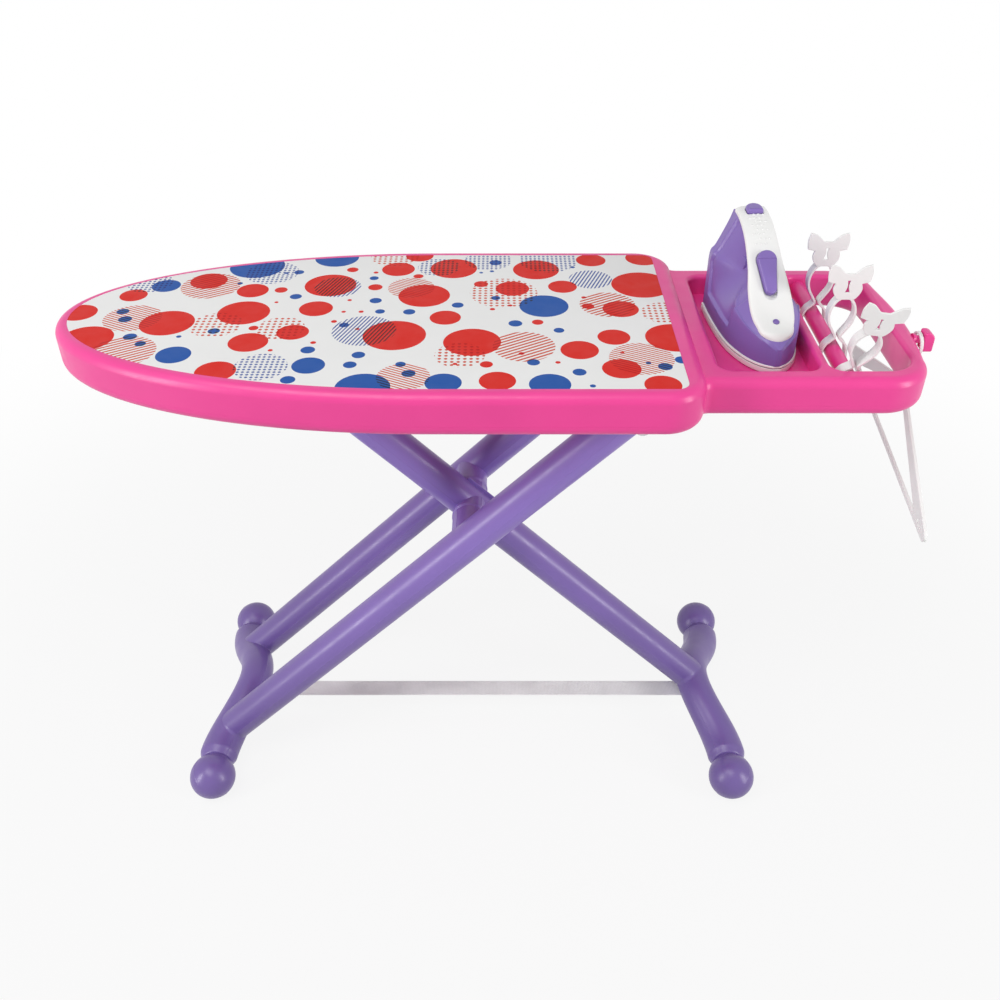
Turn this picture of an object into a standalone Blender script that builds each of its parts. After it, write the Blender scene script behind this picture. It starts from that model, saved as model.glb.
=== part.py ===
"""Toy ironing board with folding scissor legs, accessory tray, toy iron, clothes clips and hanger.

Units are metres, +Z is up and +X runs from the rounded nose to the tray. The assembly is built with
X = 0 under the scissor pivot, and the parent empty then centres the whole object over the origin.
"""

import math

import bmesh
import bpy
from mathutils import Matrix, Vector

# General
GAP = 0.0003            # clearance between pieces that touch
PIN_CLEARANCE = 0.0003  # radial clearance of every pin in its hole
ROUND_SIDES = 20        # facets of pins, tubes and bosses

# Stance of the scissor legs
FOOT_SPREAD = 0.5552    # distance between the two foot bars, ball centre to ball centre
FOOT_WIDTH = 0.240      # distance between the two balls of one foot bar
BALL_RADIUS = 0.0236
BALL_SIDES = 24         # so that a facet's edge meets the floor
PIVOT_HEIGHT = 0.2985
HINGE_DROP = 0.0205     # hinge axis below the underside of the board
FOLD_ANGLE = 30.0       # degrees the legs close from the standing pose

# Board
BOARD_BOTTOM = 0.4680
BOARD_THICKNESS = 0.0385
BOARD_HALF_WIDTH = 0.1420
BOARD_ROLL = 0.0090     # radius of the rolled edge
NOSE_CENTRE = -0.0300   # where the straight sides end and the elliptical nose starts
NOSE_LENGTH = 0.3300
BOARD_END = 0.1950
BOARD_CORNER = 0.0340
SHELL_WALL = 0.0030
PARTING_RISE = 0.0105   # parting line above the underside
BASE_FLOOR = 0.0028

# Printed cover, let into the deck
COVER_INSET = 0.0115
COVER_END_INSET = 0.0165
COVER_CORNER = 0.0100
COVER_THICKNESS = 0.0009

# Tray
TRAY_THICKNESS = 0.0340
TRAY_SIDE_STEP = 0.0320  # how far the tray stands in from the board's sides
TRAY_END = 0.3890
TRAY_BOW = 0.0060       # how far the end bulges past its corners
TRAY_CORNER = 0.0400
TRAY_NECK_FILLET = 0.0100
TRAY_NECK_SINK = 0.0036  # how far the fillet starts inside the board
TRAY_ROLL = 0.0085
TRAY_RIM = 0.0185
BAY_START = 0.2090
BAY_WIDTH = 0.0825
BAY_FLOOR_DEPTH = 0.0190
DIVIDER_WIDTH = 0.0085
SLOT_CORNER = 0.0260
BAY_CORNER = 0.0120
RAIL_X = 0.3165
RAIL_RADIUS = 0.0085
RAIL_DROP = 0.0040      # top of the clip rail below the tray rim

# Fasteners of the two board shells
SCREW_HEAD_RADIUS = 0.0036
SCREW_HEAD_HEIGHT = 0.0020
SCREW_SHANK_RADIUS = 0.0015
SCREW_LENGTH = 0.0180
BOSS_RADIUS = 0.0050
SCREW_PLACES = (
    (-0.270, -0.045),
    (-0.270, 0.045),
    (-0.100, -0.110),
    (-0.100, 0.110),
    (0.150, -0.112),
    (0.150, 0.112),
)

# Legs
TUBE_RADIUS = 0.0175
TUBE_WALL = 0.0025
TUBE_PITCH = 0.1200     # distance between the two tubes of leg A
PIVOT_PIN_RADIUS = 0.0040
PIVOT_BOSS_RADIUS = 0.0155
PIN_TUBE_DEPTH = 0.0060  # how far past a tube's axis the pivot pin reaches
HINGE_PIN_RADIUS = 0.0045
BRACKET_THICKNESS = 0.0060
BRACKET_WIDTH = 0.0300
BRACKET_SIDE_GAP = 0.0006
BRACKET_FOOT_THICKNESS = 0.0042
BRACKET_FOOT_OVERHANG = 0.0015
ROD_RADIUS = 0.0040
SLIDE_RAIL_THICKNESS = 0.0080
SLIDE_RAIL_OFFSET = 0.0040   # from a leg A tube to the slide rail
SLIDE_RAIL_OVERRUN = 0.0220  # past the rod's travel at each end
SLIDE_RAIL_LIP = 0.0042      # material below the slot
SLIDE_SLOT_CLEARANCE = 0.0007
ROD_HEAD_RADIUS = 0.0078
ROD_HEAD_THICKNESS = 0.0040

# Foot bars
BAR_RADIUS = 0.0180
BAR_SHOULDER_RADIUS = 0.0200
BAR_NECK_RADIUS = 0.0165
BAR_WALL = 0.0026
BAR_FACETS = 5          # bevel resolution of the bar, for 14 sides
BAR_ARCH = 0.0380       # how far the middle of the bar rises along the leg
BAR_NECK_SETBACK = 0.0190  # from ball centre to the end of the bar
BAR_STRAIGHT = 0.0060   # straight length at each end of the bar
BALL_SPIGOT_RADIUS = 0.0110
BALL_SPIGOT_LENGTH = 0.0060

# Strap between the feet
STRAP_WIDTH = 0.0220
STRAP_THICKNESS = 0.0012
STRAP_TAIL = 0.0120     # past each fixing screw
STRAP_SCREW_HEAD = 0.0055

# Hanger hook on the tray end
HOOK_Y = -0.0280
HOOK_DROP = 0.0055      # arm axis below the tray's top
HOOK_ARM_RADIUS = 0.0035
HOOK_SPIGOT_RADIUS = 0.0022
HOOK_REACH = 0.0145     # end of the hook past the tray
HOOK_PLATE_THICKNESS = 0.0093
HOOK_PLATE_WIDTH = 0.0120
HOOK_PLATE_HEIGHT = 0.0190

# Toy hanger
HANGER_SPAN = 0.2700
HANGER_THICKNESS = 0.0030
HANGER_STANDOFF = 0.0022  # from the hook's end plate to the middle of the hanger
HANGER_EYE_INNER = 0.0090
HANGER_EYE_BAND = 0.0022
HANGER_NECK_WIDTH = 0.0070
HANGER_PEAK = 0.0457    # shoulder peak below the eye's centre
HANGER_TIP = 0.1147     # tips below the eye's centre
HANGER_BAND = 0.0045
HANGER_TIP_HEIGHT = 0.0110
HANGER_TILT = 10.0      # degrees, front tip down, as it hangs at rest

# Clothes clips: name, distance of its middle from the rail's near end, then in degrees
# its lean about the rail and its pitch towards the near end, and how far the pitch lifts it
CLIP_PLACES = (
    ("clip_far", 0.1235, 0.0, 0.0, 0.0),
    ("clip_middle", 0.0555, 0.0, 0.0, 0.0),
    ("clip_near", 0.0100, 8.0, 15.0, 0.0),
)
CLIP_BAND = 0.0020      # thickness of the springy band
CLIP_DEPTH = 0.0090
CLIP_BOW_THICKNESS = 0.0020
CLIP_BOW_PROUD = 0.0002
CLIP_BOW_RISE = 0.0647  # middle of the bow above the rail's axis
# Half of the band's middle line, from the leg's end over the pinch to the top of the ring
CLIP_LINE = (
    (0.0112, -0.0065),
    (0.0106, -0.0020),
    (0.0102, 0.0025),
    (0.0084, 0.0076),
    (0.0048, 0.0112),
    (0.0024, 0.0138),
    (0.0024, 0.0161),
    (0.0052, 0.0209),
    (0.0088, 0.0270),
    (0.0107, 0.0341),
    (0.0100, 0.0415),
    (0.0068, 0.0478),
    (0.0024, 0.0509),
)
# Half of the bow seen from the front, from the top notch round to the bottom
CLIP_BOW = (
    (0.0014, 0.0077),
    (0.0040, 0.0080),
    (0.0072, 0.0108),
    (0.0110, 0.0138),
    (0.0165, 0.0155),
    (0.0182, 0.0085),
    (0.0172, 0.0006),
    (0.0108, -0.0010),
    (0.0120, -0.0058),
    (0.0103, -0.0108),
    (0.0068, -0.0148),
    (0.0020, -0.0150),
)
CLIP_BOW_HOLE = ((0.0013, 0.0018), (0.0006, -0.0035), (0.0021, -0.0088))

# Toy iron
IRON_X = 0.2560
IRON_Y = -0.0020
IRON_YAW = 5.0
IRON_SOLE_THICKNESS = 0.0075
IRON_WALL = 0.0025
IRON_COVER_THICKNESS = 0.0050
IRON_NOSE_WALL = 0.0120  # solid length behind the nose
IRON_RECESS_CORE = 0.0080  # half thickness of the web under the handle
# Corners of the hollow beside the handle: place, height
IRON_RECESS = ((0.0505, 0.0860), (0.0555, 0.0590), (-0.0150, 0.0410), (0.0070, 0.0600))
IRON_COVER_START = -0.0600
IRON_BUTTON_PLACE = 0.0500
IRON_BUTTON_HALF = (0.0085, 0.0095)
IRON_BUTTON_HEIGHT = 0.0084
IRON_BUTTON_TRAVEL = 0.0022
IRON_BUTTON_SUNK = 0.0022
IRON_SLIDER_PLACE = -0.0090
IRON_SLIDER_LENGTH = 0.0400
IRON_SLIDER_WIDTH = 0.0170
IRON_SLIDER_TAIL = 0.0105
IRON_SLIDER_HEIGHT = 0.0065
IRON_SLIDER_SUNK = 0.0022
IRON_SLIDER_TRAVEL = 0.0040
IRON_LIGHT_PLACE = -0.0460
IRON_LIGHT_RADIUS = 0.0026
IRON_LIGHT_DEPTH = 0.0020
IRON_SCREW_PLACE = (0.0250, 0.0620)
# Stations from the nose to the heel: place, body half width, shoulder height, cover half width, top height
IRON_STATIONS = (
    (-0.0650, 0.0020, 0.0265, 0.0012, 0.0280),
    (-0.0600, 0.0100, 0.0280, 0.0070, 0.0330),
    (-0.0510, 0.0178, 0.0300, 0.0132, 0.0370),
    (-0.0380, 0.0240, 0.0335, 0.0175, 0.0440),
    (-0.0200, 0.0290, 0.0390, 0.0178, 0.0570),
    (0.0000, 0.0312, 0.0450, 0.0150, 0.0740),
    (0.0225, 0.0318, 0.0505, 0.0137, 0.0900),
    (0.0430, 0.0315, 0.0550, 0.0134, 0.0985),
    (0.0630, 0.0305, 0.0575, 0.0134, 0.1010),
)

# Worked out from the sizes above
BOARD_TOP = BOARD_BOTTOM + BOARD_THICKNESS
TRAY_TOP = BOARD_BOTTOM + TRAY_THICKNESS
TRAY_HALF_WIDTH = BOARD_HALF_WIDTH - TRAY_SIDE_STEP
PARTING = BOARD_BOTTOM + PARTING_RISE
HALF_SPREAD = FOOT_SPREAD / 2
HALF_FOOT = FOOT_WIDTH / 2
LEG_ANGLE = math.atan2(PIVOT_HEIGHT - BALL_RADIUS, HALF_SPREAD)
HINGE_HEIGHT = BOARD_BOTTOM - HINGE_DROP
LOWER_LEG = HALF_SPREAD / math.cos(LEG_ANGLE)
UPPER_LEG = (HINGE_HEIGHT - PIVOT_HEIGHT) / math.sin(LEG_ANGLE)
HINGE_X = -UPPER_LEG * math.cos(LEG_ANGLE)
TUBE_Y = TUBE_PITCH / 2
BAR_REACH = HALF_FOOT - BAR_NECK_SETBACK
BAY_END = BAY_START + BAY_WIDTH
SLOT_START = BAY_END + DIVIDER_WIDTH
SLOT_END = TRAY_END - TRAY_RIM
WINDOW_HALF = TRAY_HALF_WIDTH - TRAY_RIM
BAY_FLOOR = TRAY_TOP - BAY_FLOOR_DEPTH
RAIL_Z = TRAY_TOP - RAIL_DROP - RAIL_RADIUS
HOOK_END = TRAY_END + HOOK_REACH
NOSE_END = NOSE_CENTRE - NOSE_LENGTH
HOOK_Z = TRAY_TOP - HOOK_DROP
HOOK_PLATE_START = HOOK_END - HOOK_PLATE_THICKNESS
HANGER_X = HOOK_PLATE_START - HANGER_STANDOFF
CENTRE_X = (NOSE_END + HOOK_END) / 2

PINK = (0.80, 0.06, 0.36)
PURPLE = (0.25, 0.17, 0.48)
WHITE = (0.86, 0.86, 0.85)
PRINT_WHITE = (0.82, 0.82, 0.81)
STRAP_GREY = (0.62, 0.61, 0.60)
STEEL = (0.62, 0.63, 0.65)


def clear_scene():
    for old in list(bpy.data.objects):
        bpy.data.objects.remove(old, do_unlink=True)


clear_scene()
PARTS = bpy.data.collections.new("toy_ironing_board")
CUTTERS = bpy.data.collections.new("cutters")
bpy.context.scene.collection.children.link(PARTS)
bpy.context.scene.collection.children.link(CUTTERS)


def material(name, colour, roughness, metallic=0.0):
    made = bpy.data.materials.new(name)
    made.use_nodes = True
    shader = made.node_tree.nodes["Principled BSDF"]
    shader.inputs["Base Color"].default_value = (*colour, 1.0)
    shader.inputs["Roughness"].default_value = roughness
    shader.inputs["Metallic"].default_value = metallic
    return made


MATERIALS = {
    "pink": material("pink_plastic", PINK, 0.30),
    "purple": material("purple_plastic", PURPLE, 0.35),
    "white": material("white_plastic", WHITE, 0.35),
    "print": material("printed_cover", PRINT_WHITE, 0.45),
    "strap": material("strap_webbing", STRAP_GREY, 0.80),
    "steel": material("zinc_plated_steel", STEEL, 0.35, 1.0),
}


def empty(name, place, turn=(0.0, 0.0, 0.0), parent=None):
    holder = bpy.data.objects.new(name, None)
    holder.location = place
    holder.rotation_euler = turn
    holder.parent = parent
    PARTS.objects.link(holder)
    return holder


def finish(part, finish_name, parent):
    """Gives a mesh object its material, smooth shading, collection and parent."""
    part.data.materials.clear()
    part.data.materials.append(MATERIALS[finish_name])
    part.data.shade_smooth()
    part.data.set_sharp_from_angle(angle=math.radians(35.0))
    part.parent = parent
    for holder in list(part.users_collection):
        holder.objects.unlink(part)
    PARTS.objects.link(part)
    return part


def as_cutter(part, parent):
    """Keeps a mesh object out of the finished model, for a Boolean to use."""
    part.hide_render = True
    part.display_type = "WIRE"
    part.parent = parent
    for holder in list(part.users_collection):
        holder.objects.unlink(part)
    CUTTERS.objects.link(part)
    return part


def mesh_object(name, build):
    """A mesh object whose bmesh the build function fills, linked to the scene until it is finished."""
    mesh = bpy.data.meshes.new(name)
    made = bpy.data.objects.new(name, mesh)
    bpy.context.scene.collection.objects.link(made)
    shape = bmesh.new()
    build(shape)
    bmesh.ops.recalc_face_normals(shape, faces=shape.faces)
    shape.to_mesh(mesh)
    shape.free()
    return made


def boolean(part, other, operation):
    step = part.modifiers.new(operation.lower() + "_" + other.name, "BOOLEAN")
    step.operation = operation
    step.solver = "EXACT"
    step.object = other


def cut(part, parent, *cutters):
    for cutter in cutters:
        boolean(part, as_cutter(cutter, parent), "DIFFERENCE")


def join(part, parent, *others):
    for other in others:
        boolean(part, as_cutter(other, parent), "UNION")


def settle(part, parent):
    """Replaces a part's mesh by what its modifiers make of it, less the points left on straight edges."""
    part.parent = parent
    bpy.context.view_layer.update()
    graph = bpy.context.evaluated_depsgraph_get()
    mesh = bpy.data.meshes.new_from_object(part.evaluated_get(graph))
    part.modifiers.clear()
    shape = bmesh.new()
    shape.from_mesh(mesh)
    bmesh.ops.remove_doubles(shape, verts=shape.verts, dist=0.000002)
    bmesh.ops.dissolve_limit(shape, angle_limit=0.002, verts=shape.verts, edges=shape.edges)
    shape.to_mesh(mesh)
    shape.free()
    part.data = mesh


def cylinder(name, radius, start, end, sides=ROUND_SIDES):
    """A round bar from start to end."""
    start, end = Vector(start), Vector(end)
    along = end - start
    turn = Vector((0, 0, 1)).rotation_difference(along).to_matrix().to_4x4()
    place = Matrix.Translation((start + end) / 2) @ turn

    def build(shape):
        bmesh.ops.create_cone(
            shape,
            cap_ends=True,
            segments=sides,
            radius1=radius,
            radius2=radius,
            depth=along.length,
            matrix=place,
        )

    return mesh_object(name, build)


def block(name, low, high, rounding=0.0, segments=3):
    """A box between two corners, with its edges rounded by a Bevel."""
    low, high = Vector(low), Vector(high)
    place = Matrix.Translation((low + high) / 2) @ Matrix.Diagonal((*(high - low), 1.0))
    made = mesh_object(name, lambda shape: bmesh.ops.create_cube(shape, size=1.0, matrix=place))
    if rounding:
        bevel = made.modifiers.new("rounded_edges", "BEVEL")
        bevel.width = rounding
        bevel.segments = segments
    return made


def mesh_from_curve(curve, name):
    """The closed mesh of a curve object, with its caps welded on."""
    holder = bpy.data.objects.new(name + "_curve", curve)
    bpy.context.scene.collection.objects.link(holder)
    bpy.context.view_layer.update()
    graph = bpy.context.evaluated_depsgraph_get()
    mesh = bpy.data.meshes.new_from_object(holder.evaluated_get(graph))
    bpy.data.objects.remove(holder, do_unlink=True)
    shape = bmesh.new()
    shape.from_mesh(mesh)
    bmesh.ops.remove_doubles(shape, verts=shape.verts, dist=0.00001)
    bmesh.ops.dissolve_limit(shape, angle_limit=0.002, verts=shape.verts, edges=shape.edges)
    bmesh.ops.recalc_face_normals(shape, faces=shape.faces)
    shape.to_mesh(mesh)
    shape.free()
    made = bpy.data.objects.new(name, mesh)
    bpy.context.scene.collection.objects.link(made)
    return made


def plate(name, outlines, low, high, roll=0.0, segments=3):
    """A flat plate from closed outlines, holes included, with its edges rolled to a radius."""
    curve = bpy.data.curves.new(name, "CURVE")
    curve.dimensions = "2D"
    curve.fill_mode = "BOTH"
    curve.extrude = (high - low) / 2 - roll
    curve.bevel_depth = roll
    curve.bevel_resolution = segments
    curve.offset = -roll
    for outline in outlines:
        strand = curve.splines.new("POLY")
        strand.use_cyclic_u = True
        strand.points.add(len(outline) - 1)
        for knot, (x, y) in zip(strand.points, outline):
            knot.co = (x, y, 0.0, 1.0)
    made = mesh_from_curve(curve, name)
    made.data.transform(Matrix.Translation((0.0, 0.0, (low + high) / 2)))
    return made


def swept_tube(name, route, radii, resolution=BAR_FACETS):
    """A tube along a route, with a radius at each point and filled ends."""
    curve = bpy.data.curves.new(name, "CURVE")
    curve.dimensions = "3D"
    curve.bevel_depth = 1.0
    curve.bevel_resolution = resolution
    curve.use_fill_caps = True
    strand = curve.splines.new("POLY")
    strand.points.add(len(route) - 1)
    for knot, place, radius in zip(strand.points, route, radii):
        knot.co = (*place, 1.0)
        knot.radius = radius
    return mesh_from_curve(curve, name)


def turned(name, profile, steps=24):
    """A solid of revolution about Z, from a profile of (radius, height) that runs top to bottom."""

    def build(shape):
        points = [shape.verts.new((radius, 0.0, height)) for radius, height in profile]
        for first, second in zip(points, points[1:]):
            shape.edges.new((first, second))

    made = mesh_object(name, build)
    screw = made.modifiers.new("turn", "SCREW")
    screw.axis = "Z"
    screw.steps = steps
    screw.render_steps = steps
    screw.use_merge_vertices = True
    screw.merge_threshold = 0.00001
    return made


def loft(name, rings):
    """A closed solid through a row of rings that have the same number of points."""

    def build(shape):
        rows = [[shape.verts.new(point) for point in ring] for ring in rings]
        count = len(rows[0])
        for near, far in zip(rows, rows[1:]):
            for i in range(count):
                j = (i + 1) % count
                shape.faces.new((near[i], near[j], far[j], far[i]))
        shape.faces.new(rows[0])
        shape.faces.new(rows[-1])

    return mesh_object(name, build)


def arc(centre, radius_x, radius_y, start, end, steps):
    """Points on an elliptical arc, angles in degrees, both ends included."""
    points = []
    for i in range(steps + 1):
        angle = math.radians(start + (end - start) * i / steps)
        points.append((centre[0] + radius_x * math.cos(angle), centre[1] + radius_y * math.sin(angle)))
    return points


def rounded_rectangle(left, right, half, left_corner, right_corner, steps=4):
    """A rectangle centred on Y = 0 with its own corner radius at each end."""
    a, b = left_corner, right_corner
    return (
        arc((right - b, half - b), b, b, 0, 90, steps)
        + arc((left + a, half - a), a, a, 90, 180, steps)
        + arc((left + a, -half + a), a, a, 180, 270, steps)
        + arc((right - b, -half + b), b, b, 270, 360, steps)
    )


def board_outline(inset, end_inset, corner, nose_steps=44):
    """The board seen from above: straight sides, a half-elliptical nose and a square tray end."""
    half = BOARD_HALF_WIDTH - inset
    end = BOARD_END - end_inset
    return (
        arc((NOSE_CENTRE, 0.0), NOSE_LENGTH - inset, half, 90, 270, nose_steps)
        + arc((end - corner, -half + corner), corner, corner, 270, 360, 6)
        + arc((end - corner, half - corner), corner, corner, 0, 90, 6)
    )


def tray_end_x(y):
    """Where the bowed end of the tray lies at a place across it."""
    straight = TRAY_HALF_WIDTH - TRAY_CORNER
    return TRAY_END - TRAY_BOW + TRAY_BOW * math.sin(math.pi * (y / straight + 1) / 2)


def tray_outline(inset=0.0):
    """The tray seen from above, from inside the board to its bowed end."""
    start = BOARD_END - BOARD_CORNER - TRAY_NECK_FILLET
    half = TRAY_HALF_WIDTH - inset
    fillet = TRAY_NECK_FILLET + inset
    neck = (BOARD_END + TRAY_NECK_FILLET - TRAY_NECK_SINK, half + fillet)
    corner = TRAY_CORNER - inset
    side = TRAY_END - TRAY_BOW - TRAY_CORNER
    centre_y = half - corner
    bow = []
    for i in range(1, 8):
        y = centre_y * (2 * i / 8 - 1)
        bow.append((tray_end_x(y) - inset, y))
    lower = [(start, -half - fillet)]
    lower += arc((neck[0], -neck[1]), fillet, fillet, 180, 90, 4)
    lower += arc((side, -centre_y), corner, corner, -90, 0, 6)
    upper = [(x, -y) for x, y in reversed(lower)]
    return lower + bow + upper


def between(low, high):
    """A box that holds everything in the board between two heights."""
    reach = 1.0
    return (-reach, -reach, low), (reach, reach, high)


def screw_solid(name, head_radius, head_height, shank_radius, length, place):
    """A pan-head screw whose head's seat is at place and whose shank points up."""
    rise = head_height * 0.35
    profile = [
        (0.0, length),
        (shank_radius * 0.6, length),
        (shank_radius, length - shank_radius),
        (shank_radius, 0.0),
        (head_radius, 0.0),
        (head_radius, -head_height + rise),
        (head_radius - rise, -head_height),
        (0.0, -head_height),
    ]
    made = turned(name, profile, 14)
    made.location = place
    return made


def base_body(name, tray_holes):
    """The outer form of board and tray in one: two rolled plates joined."""
    body = plate(name, [board_outline(0.0, 0.0, BOARD_CORNER)], BOARD_BOTTOM, BOARD_TOP, BOARD_ROLL)
    tray = plate(
        name + "_tray", [tray_outline()] + tray_holes, BOARD_BOTTOM, TRAY_TOP, TRAY_ROLL
    )
    return body, tray


def make_board(root):
    window = rounded_rectangle(SLOT_START, SLOT_END, WINDOW_HALF, BAY_CORNER, SLOT_CORNER)
    tray_window = rounded_rectangle(BAY_START, SLOT_END, WINDOW_HALF, BAY_CORNER, SLOT_CORNER)
    hollow_outline = board_outline(SHELL_WALL, SHELL_WALL, BOARD_CORNER - SHELL_WALL)
    channel = [
        tray_outline(SHELL_WALL),
        rounded_rectangle(
            BAY_START - SHELL_WALL,
            SLOT_END + SHELL_WALL,
            WINDOW_HALF + SHELL_WALL,
            BAY_CORNER,
            SLOT_CORNER,
        ),
    ]

    # Top shell: deck, rolled rim and tray frame, open below
    top, top_tray = base_body("board_top_shell", [tray_window])
    bay_floor = block(
        "bay_floor",
        (BAY_START - SHELL_WALL, -WINDOW_HALF - SHELL_WALL, PARTING - SHELL_WALL),
        (SLOT_START - DIVIDER_WIDTH / 2, WINDOW_HALF + SHELL_WALL, BAY_FLOOR),
    )
    divider = block(
        "bay_divider",
        (BAY_END, -WINDOW_HALF - SHELL_WALL, PARTING - 2 * SHELL_WALL),
        (SLOT_START, WINDOW_HALF + SHELL_WALL, TRAY_TOP - GAP),
        DIVIDER_WIDTH * 0.4,
    )
    rail_reach = WINDOW_HALF + TRAY_RIM / 2
    rail = cylinder(
        "clip_rail", RAIL_RADIUS, (RAIL_X, -rail_reach, RAIL_Z), (RAIL_X, rail_reach, RAIL_Z), 16
    )
    join(top, root, top_tray, bay_floor, divider)
    deck_hollow = plate("deck_hollow", [hollow_outline], 0.0, BOARD_TOP - COVER_THICKNESS - SHELL_WALL)
    rim_hollow = plate("rim_hollow", channel, 0.0, TRAY_TOP - SHELL_WALL)
    below = block("below_parting", *between(-1.0, PARTING + GAP / 2))
    cover_recess = plate(
        "cover_recess",
        [board_outline(COVER_INSET - GAP, COVER_END_INSET - GAP, COVER_CORNER)],
        BOARD_TOP - COVER_THICKNESS - GAP,
        BOARD_TOP + SHELL_WALL,
    )
    cut(top, root, below, deck_hollow, rim_hollow)
    settle(top, root)
    cut(top, root, cover_recess)
    join(top, root, rail)
    settle(top, root)
    pilot_radius = SCREW_SHANK_RADIUS + PIN_CLEARANCE
    boss_foot = BOARD_BOTTOM + BASE_FLOOR + GAP
    boss_head = BOARD_TOP - COVER_THICKNESS - SHELL_WALL / 2
    for number, (x, y) in enumerate(SCREW_PLACES):
        boss = cylinder(f"screw_boss_{number}", BOSS_RADIUS, (x, y, boss_foot), (x, y, boss_head), 12)
        join(top, root, boss)
    settle(top, root)
    for number, (x, y) in enumerate(SCREW_PLACES):
        pilot_end = BOARD_BOTTOM + SCREW_LENGTH + GAP
        pilot = cylinder(f"pilot_{number}", pilot_radius, (x, y, 0.0), (x, y, pilot_end), 12)
        cut(top, root, pilot)
    socket = cylinder(
        "hook_socket",
        HOOK_SPIGOT_RADIUS + PIN_CLEARANCE,
        (TRAY_END - TRAY_RIM / 2, HOOK_Y, HOOK_Z),
        (HOOK_END, HOOK_Y, HOOK_Z),
        12,
    )
    cut(top, root, socket)
    finish(top, "pink", root)

    # Base shell: shallow pan that closes the underside
    base, base_tray = base_body("board_base_shell", [window])
    join(base, root, base_tray)
    base_hollow = plate("base_hollow", [hollow_outline], BOARD_BOTTOM + BASE_FLOOR, 1.0)
    base_channel = plate(
        "base_channel",
        [
            tray_outline(SHELL_WALL),
            rounded_rectangle(
                SLOT_START - SHELL_WALL,
                SLOT_END + SHELL_WALL,
                WINDOW_HALF + SHELL_WALL,
                BAY_CORNER,
                SLOT_CORNER,
            ),
        ],
        BOARD_BOTTOM + BASE_FLOOR,
        1.0,
    )
    above = block("above_parting", *between(PARTING - GAP / 2, 1.0))
    cut(base, root, above, base_hollow, base_channel)
    settle(base, root)
    for number, (x, y) in enumerate(SCREW_PLACES):
        hole = cylinder(f"screw_hole_{number}", pilot_radius, (x, y, 0.0), (x, y, PARTING), 12)
        cut(base, root, hole)
    finish(base, "pink", root)

    for number, (x, y) in enumerate(SCREW_PLACES):
        screw = screw_solid(
            f"base_screw_{number + 1}",
            SCREW_HEAD_RADIUS,
            SCREW_HEAD_HEIGHT,
            SCREW_SHANK_RADIUS,
            SCREW_LENGTH,
            (x, y, BOARD_BOTTOM - GAP),
        )
        finish(screw, "steel", root)

    cover = plate(
        "ironing_cover",
        [board_outline(COVER_INSET, COVER_END_INSET, COVER_CORNER)],
        BOARD_TOP - COVER_THICKNESS,
        BOARD_TOP,
    )
    finish(cover, "print", root)
    make_hook(root)


def make_hook(root):
    """The peg at the tray's end: a spigot in the tray's wall, an arm and an upright end plate."""
    spigot_start = TRAY_END - TRAY_RIM / 2 + GAP
    hook = cylinder(
        "hanger_hook",
        HOOK_SPIGOT_RADIUS,
        (spigot_start, HOOK_Y, HOOK_Z),
        (HOOK_PLATE_START + HOOK_PLATE_THICKNESS / 2, HOOK_Y, HOOK_Z),
        12,
    )
    arm = cylinder(
        "hook_arm",
        HOOK_ARM_RADIUS,
        (tray_end_x(HOOK_Y + HOOK_ARM_RADIUS) + GAP, HOOK_Y, HOOK_Z),
        (HOOK_PLATE_START + HOOK_PLATE_THICKNESS / 2, HOOK_Y, HOOK_Z),
        14,
    )
    end_plate = block(
        "hook_plate",
        (HOOK_PLATE_START, HOOK_Y - HOOK_PLATE_WIDTH / 2, HOOK_Z - HOOK_PLATE_HEIGHT / 2),
        (HOOK_END, HOOK_Y + HOOK_PLATE_WIDTH / 2, HOOK_Z + HOOK_PLATE_HEIGHT / 2),
        HOOK_PLATE_THICKNESS * 0.4,
    )
    join(hook, root, arm, end_plate)
    finish(hook, "pink", root)


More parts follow.
